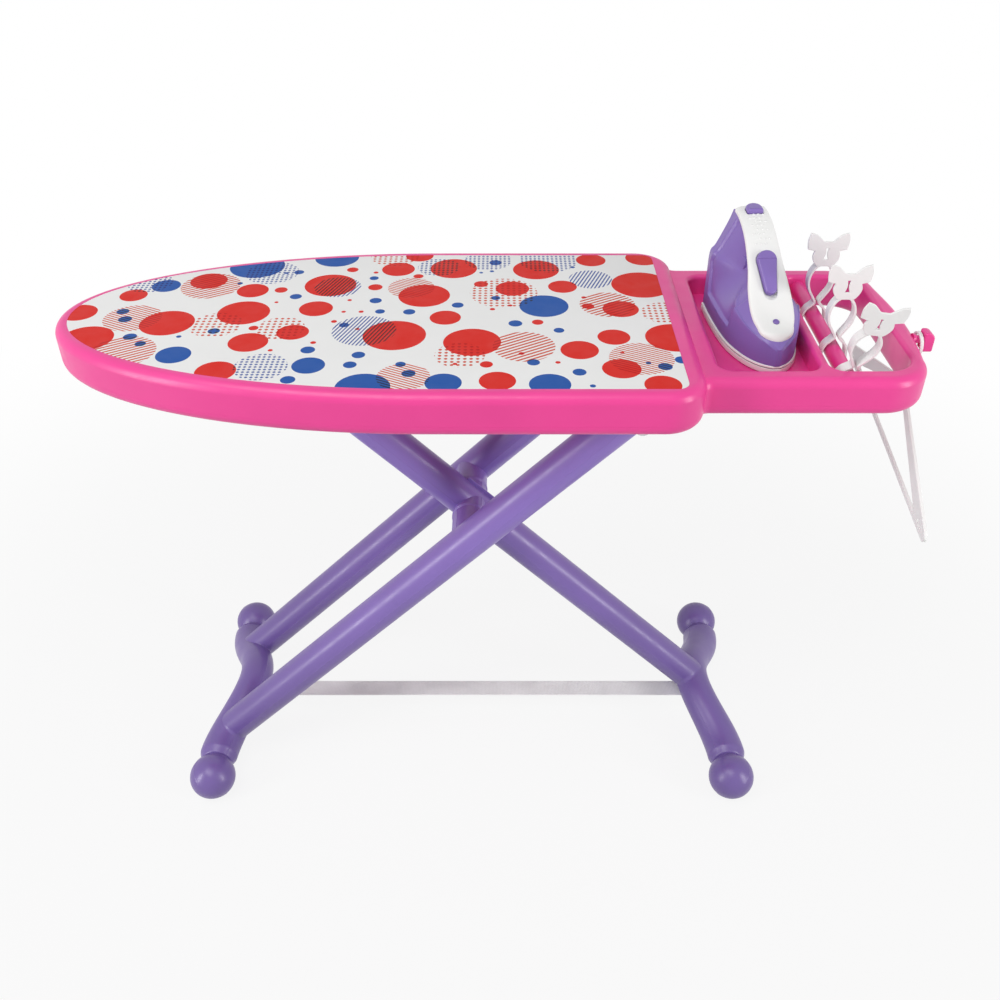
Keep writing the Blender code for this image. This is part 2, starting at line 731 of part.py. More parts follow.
def make_under_frame(root):
    """What carries the legs under the board: hinge brackets with their pin, and two slide rails."""
    seat = BOARD_BOTTOM - GAP
    inner = TUBE_RADIUS + BRACKET_SIDE_GAP
    outer = inner + BRACKET_THICKNESS
    for side, name in ((-1, "hinge_bracket_front"), (1, "hinge_bracket_rear")):
        reach = BRACKET_WIDTH / 2
        web_top = seat - BRACKET_FOOT_THICKNESS / 2 - HINGE_HEIGHT
        outline = arc((0.0, 0.0), reach, reach, 180, 360, 12) + [(reach, web_top), (-reach, web_top)]
        faces = sorted((-side * inner, -side * outer))
        web = upright(plate(name, [outline], *faces))
        web.data.transform(Matrix.Translation((HINGE_X, 0.0, HINGE_HEIGHT)))
        foot_reach = reach + BRACKET_FOOT_OVERHANG
        foot_ends = (side * (inner + GAP), side * (outer + reach))
        foot = block(
            name + "_foot",
            (HINGE_X - foot_reach, min(foot_ends), seat - BRACKET_FOOT_THICKNESS),
            (HINGE_X + foot_reach, max(foot_ends), seat),
        )
        hole = cylinder(
            name + "_hole",
            HINGE_PIN_RADIUS + PIN_CLEARANCE,
            (HINGE_X, 0.0, HINGE_HEIGHT),
            (HINGE_X, side * 2 * outer, HINGE_HEIGHT),
        )
        join(web, root, foot)
        cut(web, root, hole)
        finish(web, "pink", root)

    pin_end = outer + BRACKET_THICKNESS / 2
    pin = cylinder(
        "hinge_pin", HINGE_PIN_RADIUS, (HINGE_X, -pin_end, HINGE_HEIGHT), (HINGE_X, pin_end, HINGE_HEIGHT)
    )
    finish(pin, "steel", root)

    travel_end = UPPER_LEG * math.cos(LEG_ANGLE)
    closed_angle = LEG_ANGLE + math.radians(FOLD_ANGLE)
    travel_start = HINGE_X + 2 * UPPER_LEG * math.cos(closed_angle)
    rail_inner = TUBE_Y + TUBE_RADIUS + SLIDE_RAIL_OFFSET
    rail_outer = rail_inner + SLIDE_RAIL_THICKNESS
    slot_half = ROD_RADIUS + SLIDE_SLOT_CLEARANCE
    for side, name in ((-1, "slide_rail_front"), (1, "slide_rail_rear")):
        ends = (side * rail_inner, side * rail_outer)
        rail = block(
            name,
            (travel_start - SLIDE_RAIL_OVERRUN, min(ends), HINGE_HEIGHT - slot_half - SLIDE_RAIL_LIP),
            (travel_end + SLIDE_RAIL_OVERRUN, max(ends), seat),
        )
        slot = plate(
            name + "_slot",
            [
                arc((travel_start, 0.0), slot_half, slot_half, 90, 270, 8)
                + arc((travel_end, 0.0), slot_half, slot_half, -90, 90, 8)
            ],
            -rail_outer * 2,
            rail_outer * 2,
        )
        slot.data.transform(
            Matrix.Translation((0.0, 0.0, HINGE_HEIGHT)) @ Matrix.Rotation(math.pi / 2, 4, "X")
        )
        cut(rail, root, slot)
        finish(rail, "pink", root)


def bar_rise(y):
    """How far the foot bar's middle line stands above the ball line, measured along the leg."""
    share = min(abs(y) / (BAR_REACH - BAR_STRAIGHT), 1.0)
    return BAR_ARCH * (1 + math.cos(math.pi * share)) / 2


def bar_radius(y):
    """The bar is thickest at the shoulders and drawn in at the necks."""
    share = abs(y) / BAR_REACH
    if share > 0.93:
        return BAR_NECK_RADIUS + (BAR_SHOULDER_RADIUS - BAR_NECK_RADIUS) * (1.0 - share) / 0.07
    swell = math.sin(math.pi * min(share, 0.88) / 1.76) ** 4
    return BAR_RADIUS + (BAR_SHOULDER_RADIUS - BAR_RADIUS) * swell


def foot_bar_shape(name, foot_z, change=0.0, overrun=0.0, steps=18):
    """The bent foot bar at the bottom of a leg, in the leg's own frame."""
    bent = BAR_REACH - BAR_STRAIGHT
    places = [bent * (2 * i / steps - 1) for i in range(steps + 1)]
    places = [-BAR_REACH] + places + [BAR_REACH]
    route = [(0.0, y, foot_z + bar_rise(y)) for y in places]
    radii = [bar_radius(y) + change for y in places]
    if overrun:
        route = [(0.0, -BAR_REACH - overrun, foot_z)] + route + [(0.0, BAR_REACH + overrun, foot_z)]
        radii = radii[:1] + radii + radii[-1:]
    return swept_tube(name, route, radii)


def make_foot(name, leg, foot_z):
    """One foot bar with a push-in ball at each end."""
    bar = foot_bar_shape(name + "_bar", foot_z)
    facets = 4 + 2 * BAR_FACETS
    bore_radius = (BALL_SPIGOT_RADIUS + PIN_CLEARANCE) / math.cos(math.pi / facets)
    core = foot_bar_shape(name + "_bar_core", foot_z, bore_radius - BAR_NECK_RADIUS, BALL_RADIUS)
    cut(bar, leg, core)
    finish(bar, "purple", leg)
    for side, end in ((-1, "front"), (1, "rear")):
        profile = []
        steps = 10
        seat = -BAR_NECK_SETBACK + GAP
        seat_angle = math.degrees(math.acos(-seat / BALL_RADIUS))
        for i in range(steps + 1):
            angle = math.radians((180.0 - seat_angle) * i / steps)
            profile.append((BALL_RADIUS * math.sin(angle), BALL_RADIUS * math.cos(angle)))
        profile += [
            (BALL_SPIGOT_RADIUS, seat),
            (BALL_SPIGOT_RADIUS, seat - BALL_SPIGOT_LENGTH),
            (0.0, seat - BALL_SPIGOT_LENGTH),
        ]
        ball = turned(f"{name}_ball_{end}", profile, BALL_SIDES)
        ball.rotation_euler = (math.radians(-90.0 * side), 0.0, 0.0)
        ball.location = (0.0, side * HALF_FOOT, foot_z)
        finish(ball, "purple", leg)


def round_ended_tube(name, y, top_z, foot_z):
    """A leg tube with a domed top, hollow from its foot to just under the joint."""
    radius = TUBE_RADIUS
    steps = 5
    profile = []
    for i in range(steps + 1):
        angle = math.radians(90.0 * i / steps)
        profile.append((radius * math.sin(angle), top_z + radius * math.cos(angle)))
    profile += [(radius, foot_z), (0.0, foot_z)]
    tube = turned(name, profile, ROUND_SIDES)
    tube.location = (0.0, y, 0.0)
    bore_top = top_z - 2 * radius
    bore = cylinder(
        name + "_bore", radius - TUBE_WALL, (0.0, y, foot_z - radius), (0.0, y, bore_top), ROUND_SIDES
    )
    return tube, bore


def make_leg_b(leg):
    """The single-tube leg: hinged to the board at its top, standing on the right foot bar."""
    foot_z = -UPPER_LEG - LOWER_LEG
    pivot_z = -UPPER_LEG
    tube, bore = round_ended_tube("leg_b_tube", 0.0, 0.0, foot_z + BAR_ARCH)
    saddle = foot_bar_shape("leg_b_saddle", foot_z, GAP)
    hinge_hole = cylinder(
        "leg_b_hinge_hole",
        HINGE_PIN_RADIUS + PIN_CLEARANCE,
        (0.0, -2 * TUBE_RADIUS, 0.0),
        (0.0, 2 * TUBE_RADIUS, 0.0),
    )
    pin_hole_radius = PIVOT_PIN_RADIUS + PIN_CLEARANCE
    pivot_hole = cylinder(
        "leg_b_pivot_hole",
        pin_hole_radius,
        (0.0, -2 * TUBE_RADIUS, pivot_z),
        (0.0, 2 * TUBE_RADIUS, pivot_z),
    )
    cut(tube, leg, saddle, bore, hinge_hole, pivot_hole)
    finish(tube, "purple", leg)
    make_foot("right_foot", leg, foot_z)
    for side, end in ((-1, "front"), (1, "rear")):
        make_boss(f"leg_b_boss_{end}", leg, 0.0, side * (TUBE_Y / 2 - GAP / 2), pivot_z)


def make_boss(name, leg, tube_y, face_y, pivot_z):
    """A pivot boss from a tube to its bearing face, saddled on the tube and bored for the pin."""
    boss = cylinder(name, PIVOT_BOSS_RADIUS, (0.0, tube_y, pivot_z), (0.0, face_y, pivot_z))
    saddle = cylinder(
        name + "_saddle",
        TUBE_RADIUS + GAP,
        (0.0, tube_y, pivot_z - 3 * TUBE_RADIUS),
        (0.0, tube_y, pivot_z + 3 * TUBE_RADIUS),
    )
    hole = cylinder(
        name + "_hole",
        PIVOT_PIN_RADIUS + PIN_CLEARANCE,
        (0.0, -TUBE_PITCH, pivot_z),
        (0.0, TUBE_PITCH, pivot_z),
    )
    cut(boss, leg, saddle, hole)
    finish(boss, "purple", leg)


def make_leg_a(leg):
    """The two-tube leg: pivots on leg B, slides under the board and stands on the left foot bar."""
    foot_z = -LOWER_LEG
    pin_end = TUBE_Y + PIN_TUBE_DEPTH
    rail_outer = TUBE_Y + TUBE_RADIUS + SLIDE_RAIL_OFFSET + SLIDE_RAIL_THICKNESS
    for side, end in ((-1, "front"), (1, "rear")):
        y = side * TUBE_Y
        name = f"leg_a_tube_{end}"
        tube, bore = round_ended_tube(name, y, UPPER_LEG, foot_z + bar_rise(y))
        saddle = foot_bar_shape(name + "_saddle", foot_z, GAP)
        rod_hole = cylinder(
            name + "_rod_hole",
            ROD_RADIUS + PIN_CLEARANCE,
            (0.0, y - 2 * TUBE_RADIUS, UPPER_LEG),
            (0.0, y + 2 * TUBE_RADIUS, UPPER_LEG),
        )
        pin_hole = cylinder(
            name + "_pin_hole",
            PIVOT_PIN_RADIUS + PIN_CLEARANCE,
            (0.0, 0.0, 0.0),
            (0.0, side * (pin_end + GAP), 0.0),
        )
        cut(tube, leg, saddle, bore, rod_hole, pin_hole)
        finish(tube, "purple", leg)
        make_boss(f"leg_a_boss_{end}", leg, y, side * (TUBE_Y / 2 + GAP / 2), 0.0)
    pin = cylinder("pivot_pin", PIVOT_PIN_RADIUS, (0.0, -pin_end, 0.0), (0.0, pin_end, 0.0))
    finish(pin, "steel", leg)
    make_foot("left_foot", leg, foot_z)

    head_seat = rail_outer + SLIDE_SLOT_CLEARANCE
    head_end = head_seat + ROD_HEAD_THICKNESS
    rod = turned(
        "slider_rod",
        [
            (0.0, head_end),
            (ROD_RADIUS, head_end),
            (ROD_RADIUS, -head_seat),
            (ROD_HEAD_RADIUS, -head_seat),
            (ROD_HEAD_RADIUS, -head_end),
            (0.0, -head_end),
        ],
        ROUND_SIDES,
    )
    rod.rotation_euler = (math.radians(-90.0), 0.0, 0.0)
    rod.location = (0.0, 0.0, UPPER_LEG)
    finish(rod, "steel", leg)
    cap = cylinder("slider_cap", ROD_HEAD_RADIUS, (0.0, head_seat, UPPER_LEG), (0.0, head_end, UPPER_LEG))
    cap_hole = cylinder(
        "slider_cap_hole",
        ROD_RADIUS + PIN_CLEARANCE,
        (0.0, 0.0, UPPER_LEG),
        (0.0, 2 * head_end, UPPER_LEG),
    )
    cut(cap, leg, cap_hole)
    finish(cap, "white", leg)


def make_strap(root):
    """The webbing strap that stops the feet from spreading, screwed up into both foot bars."""
    rise = bar_rise(STRAP_WIDTH / 2) * math.sin(LEG_ANGLE)
    inward = BAR_ARCH * math.cos(LEG_ANGLE)
    bar_x = HALF_SPREAD - inward
    strap_top = BALL_RADIUS + rise - BAR_RADIUS - GAP
    strap_low = strap_top - STRAP_THICKNESS
    end_x = bar_x + STRAP_TAIL
    strap = block(
        "leg_strap", (-end_x, -STRAP_WIDTH / 2, strap_low), (end_x, STRAP_WIDTH / 2, strap_top)
    )
    shank = SCREW_SHANK_RADIUS
    for side, name in ((-1, "left"), (1, "right")):
        place = (side * bar_x, 0.0, strap_low - GAP)
        hole = cylinder(
            f"strap_hole_{name}",
            shank + PIN_CLEARANCE,
            (place[0], 0.0, 0.0),
            (place[0], 0.0, strap_top * 2),
            12,
        )
        cut(strap, root, hole)
        screw = screw_solid(
            f"strap_screw_{name}",
            STRAP_SCREW_HEAD,
            SCREW_HEAD_HEIGHT,
            shank,
            STRAP_THICKNESS + GAP * 2 + BAR_WALL * 2,
            place,
        )
        finish(screw, "steel", root)
        bar = bpy.data.objects[f"{name}_foot_bar"]
        pilot = cylinder(
            f"strap_pilot_{name}",
            shank + PIN_CLEARANCE,
            (place[0], 0.0, 0.0),
            (place[0], 0.0, strap_top + BAR_WALL * 3),
            12,
        )
        cut(bar, root, pilot)
    finish(strap, "strap", root)


def blended(stations, y):
    """The station values at a place along the iron, on a smooth curve through the stations."""
    last = len(stations) - 1
    k = 0
    while k < last - 1 and y > stations[k + 1][0]:
        k += 1
    before, first, second, after = (stations[max(0, min(last, k + i))] for i in (-1, 0, 1, 2))
    span = second[0] - first[0]
    t = (y - first[0]) / span
    values = []
    for i in range(1, len(first)):
        rise_1 = (second[i] - before[i]) / (second[0] - before[0]) * span
        rise_2 = (after[i] - first[i]) / (after[0] - first[0]) * span
        curve = (
            (2 * t**3 - 3 * t**2 + 1) * first[i]
            + (t**3 - 2 * t**2 + t) * rise_1
            + (3 * t**2 - 2 * t**3) * second[i]
            + (t**3 - t**2) * rise_2
        )
        values.append(curve)
    return values


def iron_section(y, change):
    """Half of the iron's body seen from its nose: points from the keel up to the handle, x to the right."""
    half, shoulder, cover, top = blended(IRON_STATIONS, y)
    floor = IRON_SOLE_THICKNESS + GAP + change
    deck = top - IRON_COVER_THICKNESS - change
    half = max(half - change, 0.0006)
    cover = min(max(cover - change, 0.0004), half)
    shoulder = min(shoulder, deck - 0.002) - change * 0.5
    rise = deck - shoulder
    return [
        (0.0, floor),
        (half * 0.97, floor),
        (half, floor + 0.002),
        (half, shoulder * 0.6 + floor * 0.4),
        (half * 0.985, shoulder),
        (half + (cover - half) * 0.30, shoulder + rise * 0.20),
        (half + (cover - half) * 0.80, shoulder + rise * 0.72),
        (cover, deck),
        (0.0, deck),
    ]


def iron_half(name, side, change, steps=16):
    """The solid of one half of the iron's body, or of its hollow when change is the wall."""
    first = IRON_STATIONS[0][0] + (IRON_NOSE_WALL if change else 0.0)
    last = IRON_STATIONS[-1][0] - change
    middle = -side * change if change else side * GAP / 2
    rings = []
    for i in range(steps + 1):
        share = i / steps
        y = first + (last - first) * (share * 0.75 + 0.25 * share * share)
        ring = [(x * side + side * GAP / 2, y, z) for x, z in iron_section(y, change)]
        ring[0] = (middle, y, ring[0][2])
        ring[-1] = (middle, y, ring[-1][2])
        rings.append(ring)
    return loft(name, rings)


def recess_solid(name, side, grow):
    """The triangular hollow beside the handle, wider by grow all round."""
    points = [Vector(point) for point in IRON_RECESS]
    middle = sum(points, Vector((0.0, 0.0))) / len(points)
    outline = []
    for point in points:
        away = (point - middle).normalized()
        outline.append(point + away * grow * 1.6)
    start = IRON_RECESS_CORE - grow
    end = 3 * IRON_RECESS_CORE + IRON_STATIONS[-1][1]
    rings = []
    for x in (start, end):
        rings.append([(side * x, point.x, point.y) for point in outline])
    return loft(name, rings)


def cover_ring(y):
    """One section of the white top cover: a low dome on a flat seat."""
    _, _, cover, top = blended(IRON_STATIONS, y)
    deck = top - IRON_COVER_THICKNESS + GAP
    height = IRON_COVER_THICKNESS - GAP
    points = [(-cover, y, deck), (cover, y, deck)]
    for angle in (24, 50, 75, 105, 130, 156):
        turn = math.radians(angle)
        points.append((cover * math.cos(turn) * 1.04, y, deck + height * math.sin(turn) ** 0.6))
    return points


def on_slope(y):
    """The cover's top at a place along the iron, and its slope about X."""
    step = 0.004
    ahead = blended(IRON_STATIONS, y + step)[3]
    behind = blended(IRON_STATIONS, y - step)[3]
    return blended(IRON_STATIONS, y)[3], math.atan2(ahead - behind, 2 * step)


def slider_outline(grow, stretch):
    """The slider seen from above: broad towards the handle, narrower towards the nose."""
    half = IRON_SLIDER_LENGTH / 2
    broad = IRON_SLIDER_WIDTH / 2
    tail = IRON_SLIDER_TAIL / 2
    top = arc((0.0, half - broad), broad + grow, broad + grow, 0, 180, 8)
    low = arc((0.0, -half + tail - stretch), tail + grow, tail + grow, 180, 360, 8)
    return top + low


def make_iron(iron):
    sole_outline = []
    steps = 14
    first, last = IRON_STATIONS[0][0], IRON_STATIONS[-1][0]
    for i in range(steps + 1):
        y = first + (last - first) * i / steps
        sole_outline.append((blended(IRON_STATIONS, y)[0] + 0.0015, y))
    mirrored = [(-x, y) for x, y in reversed(sole_outline)]
    sole = plate("iron_soleplate", [sole_outline + mirrored], 0.0, IRON_SOLE_THICKNESS)
    finish(sole, "white", iron)

    screw_y, screw_z = IRON_SCREW_PLACE
    hole_radius = SCREW_SHANK_RADIUS + PIN_CLEARANCE
    for side, name in ((-1, "iron_body_left"), (1, "iron_body_right")):
        body = iron_half(name, side, 0.0)
        hollow = iron_half(name + "_hollow", side, IRON_WALL)
        cut(hollow, iron, recess_solid(name + "_recess_wall", side, IRON_WALL))
        cut(body, iron, hollow, recess_solid(name + "_recess", side, 0.0))
        if side > 0:
            boss_end = (IRON_RECESS_CORE - IRON_WALL / 2, screw_y, screw_z)
            boss = cylinder("iron_screw_boss", BOSS_RADIUS * 0.9, (GAP, screw_y, screw_z), boss_end, 12)
            join(body, iron, boss)
            hole_span = (-IRON_RECESS_CORE, IRON_RECESS_CORE - IRON_WALL)
        else:
            hole_span = (-2 * IRON_RECESS_CORE, GAP)
        hole_ends = [(x, screw_y, screw_z) for x in hole_span]
        cut(body, iron, cylinder(name + "_screw_hole", hole_radius, *hole_ends, 12))
        finish(body, "purple", iron)
    screw = screw_solid(
        "iron_screw",
        SCREW_HEAD_RADIUS,
        SCREW_HEAD_HEIGHT,
        SCREW_SHANK_RADIUS,
        2 * IRON_RECESS_CORE - IRON_WALL - GAP,
        (-IRON_RECESS_CORE - GAP, screw_y, screw_z),
    )
    screw.rotation_euler = (0.0, math.radians(90.0), 0.0)
    finish(screw, "steel", iron)

    rings = []
    steps = 18
    first, last = IRON_COVER_START, IRON_STATIONS[-1][0]
    for i in range(steps + 1):
        rings.append(cover_ring(first + (last - first) * i / steps))
    cover = loft("iron_top_cover", rings)

    # Steam button in a well at the top of the handle
    top, slope = on_slope(IRON_BUTTON_PLACE)
    seat = empty("steam_button_seat", (0.0, IRON_BUTTON_PLACE, top), (slope, 0.0, 0.0), iron)
    half_x, half_y = IRON_BUTTON_HALF
    button = block(
        "iron_steam_button",
        (-half_x, -half_y, -IRON_BUTTON_SUNK),
        (half_x, half_y, IRON_BUTTON_HEIGHT - IRON_BUTTON_SUNK),
        IRON_BUTTON_HEIGHT * 0.4,
    )
    stem = block(
        "steam_button_stem",
        (-half_x + GAP / 2, -half_y + GAP / 2, -IRON_BUTTON_SUNK),
        (half_x - GAP / 2, half_y - GAP / 2, IRON_BUTTON_HEIGHT / 2 - IRON_BUTTON_SUNK),
    )
    join(button, seat, stem)
    finish(button, "purple", seat)
    well = block(
        "steam_button_well",
        (-half_x - GAP, -half_y - GAP, -2 * IRON_COVER_THICKNESS),
        (half_x + GAP, half_y + GAP, IRON_BUTTON_HEIGHT),
    )
    cut(cover, seat, well)

    # Slider in a longer slot on the slope
    top, slope = on_slope(IRON_SLIDER_PLACE)
    seat = empty("slider_seat", (0.0, IRON_SLIDER_PLACE, top), (slope, 0.0, 0.0), iron)
    slider = plate(
        "iron_slider_button",
        [slider_outline(0.0, 0.0)],
        -IRON_SLIDER_SUNK,
        IRON_SLIDER_HEIGHT - IRON_SLIDER_SUNK,
        IRON_SLIDER_HEIGHT * 0.25,
        1,
    )
    finish(slider, "purple", seat)
    slot = plate(
        "slider_slot",
        [slider_outline(GAP * 2, IRON_SLIDER_TRAVEL)],
        -IRON_SLIDER_SUNK - GAP,
        IRON_SLIDER_HEIGHT * 2,
    )
    cut(cover, seat, slot)

    # Indicator lens near the nose
    top, slope = on_slope(IRON_LIGHT_PLACE)
    seat = empty("indicator_seat", (0.0, IRON_LIGHT_PLACE, top), (slope, 0.0, 0.0), iron)
    lens_ends = ((0.0, 0.0, -IRON_LIGHT_DEPTH), (0.0, 0.0, GAP * 2))
    lens = cylinder("iron_indicator", IRON_LIGHT_RADIUS, *lens_ends, 14)
    finish(lens, "purple", seat)
    lens_hole = cylinder(
        "indicator_hole",
        IRON_LIGHT_RADIUS + GAP,
        (0.0, 0.0, -IRON_LIGHT_DEPTH - GAP),
        (0.0, 0.0, IRON_COVER_THICKNESS),
        14,
    )
    cut(cover, seat, lens_hole)
    finish(cover, "white", iron)


def both_sides(half):
    """A half outline and its mirror image, as one closed outline."""
    return list(half) + [(-x, z) for x, z in reversed(half)]


def upright(part):
    """Turns a plate drawn flat so that its drawing faces the front."""
    part.data.transform(Matrix.Rotation(math.pi / 2, 4, "X"))
    return part


def band_outline(line, thickness):
    """The closed outline of a springy band that follows an open line."""
    left = []
    right = []
    last = len(line) - 1
    for i, point in enumerate(line):
        before = Vector(line[max(i - 1, 0)])
        after = Vector(line[min(i + 1, last)])
        along = (after - before).normalized()
        across = Vector((-along.y, along.x)) * thickness / 2
        left.append(tuple(Vector(point) + across))
        right.append(tuple(Vector(point) - across))
    return left + list(reversed(right))


def make_clips(root):
    """Springy clothes clips that straddle the rail, each with a bow on top."""
    line = list(CLIP_LINE) + [(-x, z) for x, z in reversed(CLIP_LINE)]
    for name, distance, lean, pitch, lift in CLIP_PLACES:
        place = (RAIL_X, distance - WINDOW_HALF, RAIL_Z + lift)
        seat = empty(name + "_seat", place, (math.radians(pitch), math.radians(lean), 0.0), root)
        clip = upright(plate(name, [band_outline(line, CLIP_BAND)], -CLIP_DEPTH / 2, CLIP_DEPTH / 2))
        bow_outline = [(x, z + CLIP_BOW_RISE) for x, z in both_sides(CLIP_BOW)]
        hole = [(x, z + CLIP_BOW_RISE) for x, z in both_sides(CLIP_BOW_HOLE)]
        front = CLIP_DEPTH / 2 + CLIP_BOW_PROUD
        bow = upright(plate(name + "_bow", [bow_outline, hole], front - CLIP_BOW_THICKNESS, front))
        join(clip, seat, bow)
        finish(clip, "white", seat)


def make_hanger(root):
    """The toy clothes hanger, hung by its eye on the hook's arm."""
    eye_drop = HANGER_EYE_INNER - HOOK_ARM_RADIUS - GAP
    seat = empty(
        "hanger_seat", (HANGER_X, HOOK_Y, HOOK_Z), (math.radians(HANGER_TILT), 0.0, 0.0), root
    )
    outer = HANGER_EYE_INNER + HANGER_EYE_BAND
    neck = HANGER_NECK_WIDTH / 2
    open_angle = math.degrees(math.asin(neck / outer))
    half_span = HANGER_SPAN / 2
    shoulder = [
        (neck, -HANGER_PEAK),
        (half_span - HANGER_TIP_HEIGHT / 2, -HANGER_TIP + HANGER_TIP_HEIGHT),
        (half_span, -HANGER_TIP + HANGER_TIP_HEIGHT / 2),
        (half_span - HANGER_TIP_HEIGHT / 4, -HANGER_TIP),
    ]
    eye = arc((0.0, 0.0), outer, outer, 90, -90 + open_angle, 12)
    outline = [(x, z - eye_drop) for x, z in both_sides(eye + shoulder)]
    eye_hole = arc((0.0, -eye_drop), HANGER_EYE_INNER, HANGER_EYE_INNER, 0, 345, 23)
    fall = HANGER_TIP - HANGER_TIP_HEIGHT - HANGER_PEAK
    slope = math.atan2(fall, half_span - HANGER_TIP_HEIGHT / 2 - neck)
    inner_peak = -HANGER_PEAK - HANGER_BAND / math.cos(slope)
    inner_floor = -HANGER_TIP + HANGER_BAND
    inner_half = (inner_peak - inner_floor) / math.tan(slope)
    inner = [(0.0, inner_peak), (-inner_half, inner_floor), (inner_half, inner_floor)]
    inner = [(x, z - eye_drop) for x, z in inner]
    hanger = plate(
        "toy_hanger",
        [outline[1:], eye_hole, inner],
        -HANGER_THICKNESS / 2,
        HANGER_THICKNESS / 2,
    )
    upright(hanger)
    hanger.data.transform(Matrix.Rotation(math.pi / 2, 4, "Z"))
    finish(hanger, "white", seat)


def main():
    root = empty("ironing_board_frame", (-CENTRE_X, 0.0, 0.0))
    leg_b = empty("leg_b_hinge", (HINGE_X, 0.0, HINGE_HEIGHT), (0.0, LEG_ANGLE - math.pi / 2, 0.0), root)
    leg_a = empty("leg_a_pivot", (0.0, 0.0, PIVOT_HEIGHT), (0.0, math.pi / 2 - LEG_ANGLE, 0.0), root)
    make_board(root)
    make_under_frame(root)
    make_leg_b(leg_b)
    make_leg_a(leg_a)
    make_strap(root)
    iron = empty(
        "iron_seat", (IRON_X, IRON_Y, BAY_FLOOR + GAP), (0.0, 0.0, math.radians(IRON_YAW)), root
    )
    make_iron(iron)
    make_clips(root)
    make_hanger(root)


main()
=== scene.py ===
"""Looks of the toy ironing board: fine meshes, materials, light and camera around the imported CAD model.

Units are metres in the model's frame: +Z up, +X from the rounded nose to the tray. Shapes are drawn in
the part's datum, with X = 0 under the scissor pivot, and DATUM places them over the CAD nodes.
"""

import math
import random

import bmesh
import bpy
from mathutils import Matrix, Vector


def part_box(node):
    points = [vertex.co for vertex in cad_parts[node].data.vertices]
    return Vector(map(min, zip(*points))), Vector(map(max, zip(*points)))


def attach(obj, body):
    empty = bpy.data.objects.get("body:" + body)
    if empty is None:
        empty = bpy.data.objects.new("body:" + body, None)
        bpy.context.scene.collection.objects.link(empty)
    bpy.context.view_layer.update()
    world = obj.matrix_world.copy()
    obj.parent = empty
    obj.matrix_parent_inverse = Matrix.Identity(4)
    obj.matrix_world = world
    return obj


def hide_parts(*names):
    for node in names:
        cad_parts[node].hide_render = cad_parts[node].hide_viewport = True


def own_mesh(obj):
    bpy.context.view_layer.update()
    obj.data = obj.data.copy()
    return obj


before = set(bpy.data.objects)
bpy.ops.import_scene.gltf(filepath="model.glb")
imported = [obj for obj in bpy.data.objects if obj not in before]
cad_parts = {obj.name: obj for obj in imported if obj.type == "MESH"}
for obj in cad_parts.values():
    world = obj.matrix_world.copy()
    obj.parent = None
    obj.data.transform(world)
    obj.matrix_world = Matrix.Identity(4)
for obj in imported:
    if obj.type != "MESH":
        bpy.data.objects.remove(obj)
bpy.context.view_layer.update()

# Sides, with their signs
LEFT_RIGHT = ((-1, "left"), (1, "right"))
FRONT_REAR = ((-1, "front"), (1, "rear"))

# Clearances
GAP = 0.0003
HAIRLINE = 0.00005      # between faces that look joined

# Board
BOARD_BOTTOM = 0.4680
BOARD_TOP = 0.5065
BOARD_HALF_WIDTH = 0.1420
BOARD_ROLL = 0.0090
NOSE_CENTRE = -0.0300
NOSE_LENGTH = 0.3300
NOSE_END = NOSE_CENTRE - NOSE_LENGTH
BOARD_END = 0.1950
BOARD_CORNER = 0.0340
PARTING = 0.4785
COVER_INSET = 0.0115
COVER_END_INSET = 0.0165
COVER_CORNER = 0.0100
COVER_THICKNESS = 0.0009
SHELL_SPARE = 0.0300    # by which a shell is drawn past the parting line, where it is then cut

# Tray
TRAY_TOP = 0.5020
TRAY_HALF_WIDTH = 0.1100
TRAY_END = 0.3890
TRAY_BOW = 0.0060
TRAY_CORNER = 0.0400
TRAY_NECK_FILLET = 0.0100
TRAY_NECK_SINK = 0.0036
TRAY_ROLL = 0.0085
TRAY_RIM = 0.0185
BAY_START = 0.2090
BAY_END = 0.2915
BAY_FLOOR = 0.4830
DIVIDER_WIDTH = 0.0085
SLOT_START = BAY_END + DIVIDER_WIDTH
SLOT_END = TRAY_END - TRAY_RIM
WINDOW_HALF = TRAY_HALF_WIDTH - TRAY_RIM
SLOT_CORNER = 0.0260
BAY_CORNER = 0.0120
HOLE_ROLL = 0.0040      # rolled edge round the bay and the slot
RAIL_X = 0.3165
RAIL_RADIUS = 0.0070
RAIL_Z = 0.4895

# Legs
BALL_RADIUS = 0.0236
HALF_SPREAD = 0.2776
HALF_FOOT = 0.1200
PIVOT_HEIGHT = 0.2985
HINGE_HEIGHT = 0.4475
LEG_ANGLE = math.atan2(PIVOT_HEIGHT - BALL_RADIUS, HALF_SPREAD)
LOWER_LEG = HALF_SPREAD / math.cos(LEG_ANGLE)
UPPER_LEG = (HINGE_HEIGHT - PIVOT_HEIGHT) / math.sin(LEG_ANGLE)
HINGE_X = -UPPER_LEG * math.cos(LEG_ANGLE)
TUBE_RADIUS = 0.0175
TUBE_SIDES = 56
TUBE_Y = 0.0600
BOSS_RADIUS = 0.0172
BOSS_FILLET = 0.0006
BOSS_FACE = 0.0225      # where the bosses of the two legs meet
JOINT_FILLET = 0.0050   # where a tube runs into its foot bar or boss
SEAM_HEIGHT = 0.00022   # mould seam along tubes and bars
SEAM_HALF_ANGLE = 1.2   # degrees

# Foot bars
BAR_RADIUS = 0.0180
BAR_SHOULDER_RADIUS = 0.0200
BAR_NECK_RADIUS = 0.0165
BAR_ARCH = 0.0380
BAR_REACH = 0.1010
BAR_STRAIGHT = 0.0060
BAR_LIP = 0.0022        # rounding of the bar's ends

# Strap
STRAP_WIDTH = 0.0220
STRAP_THICKNESS = 0.0012

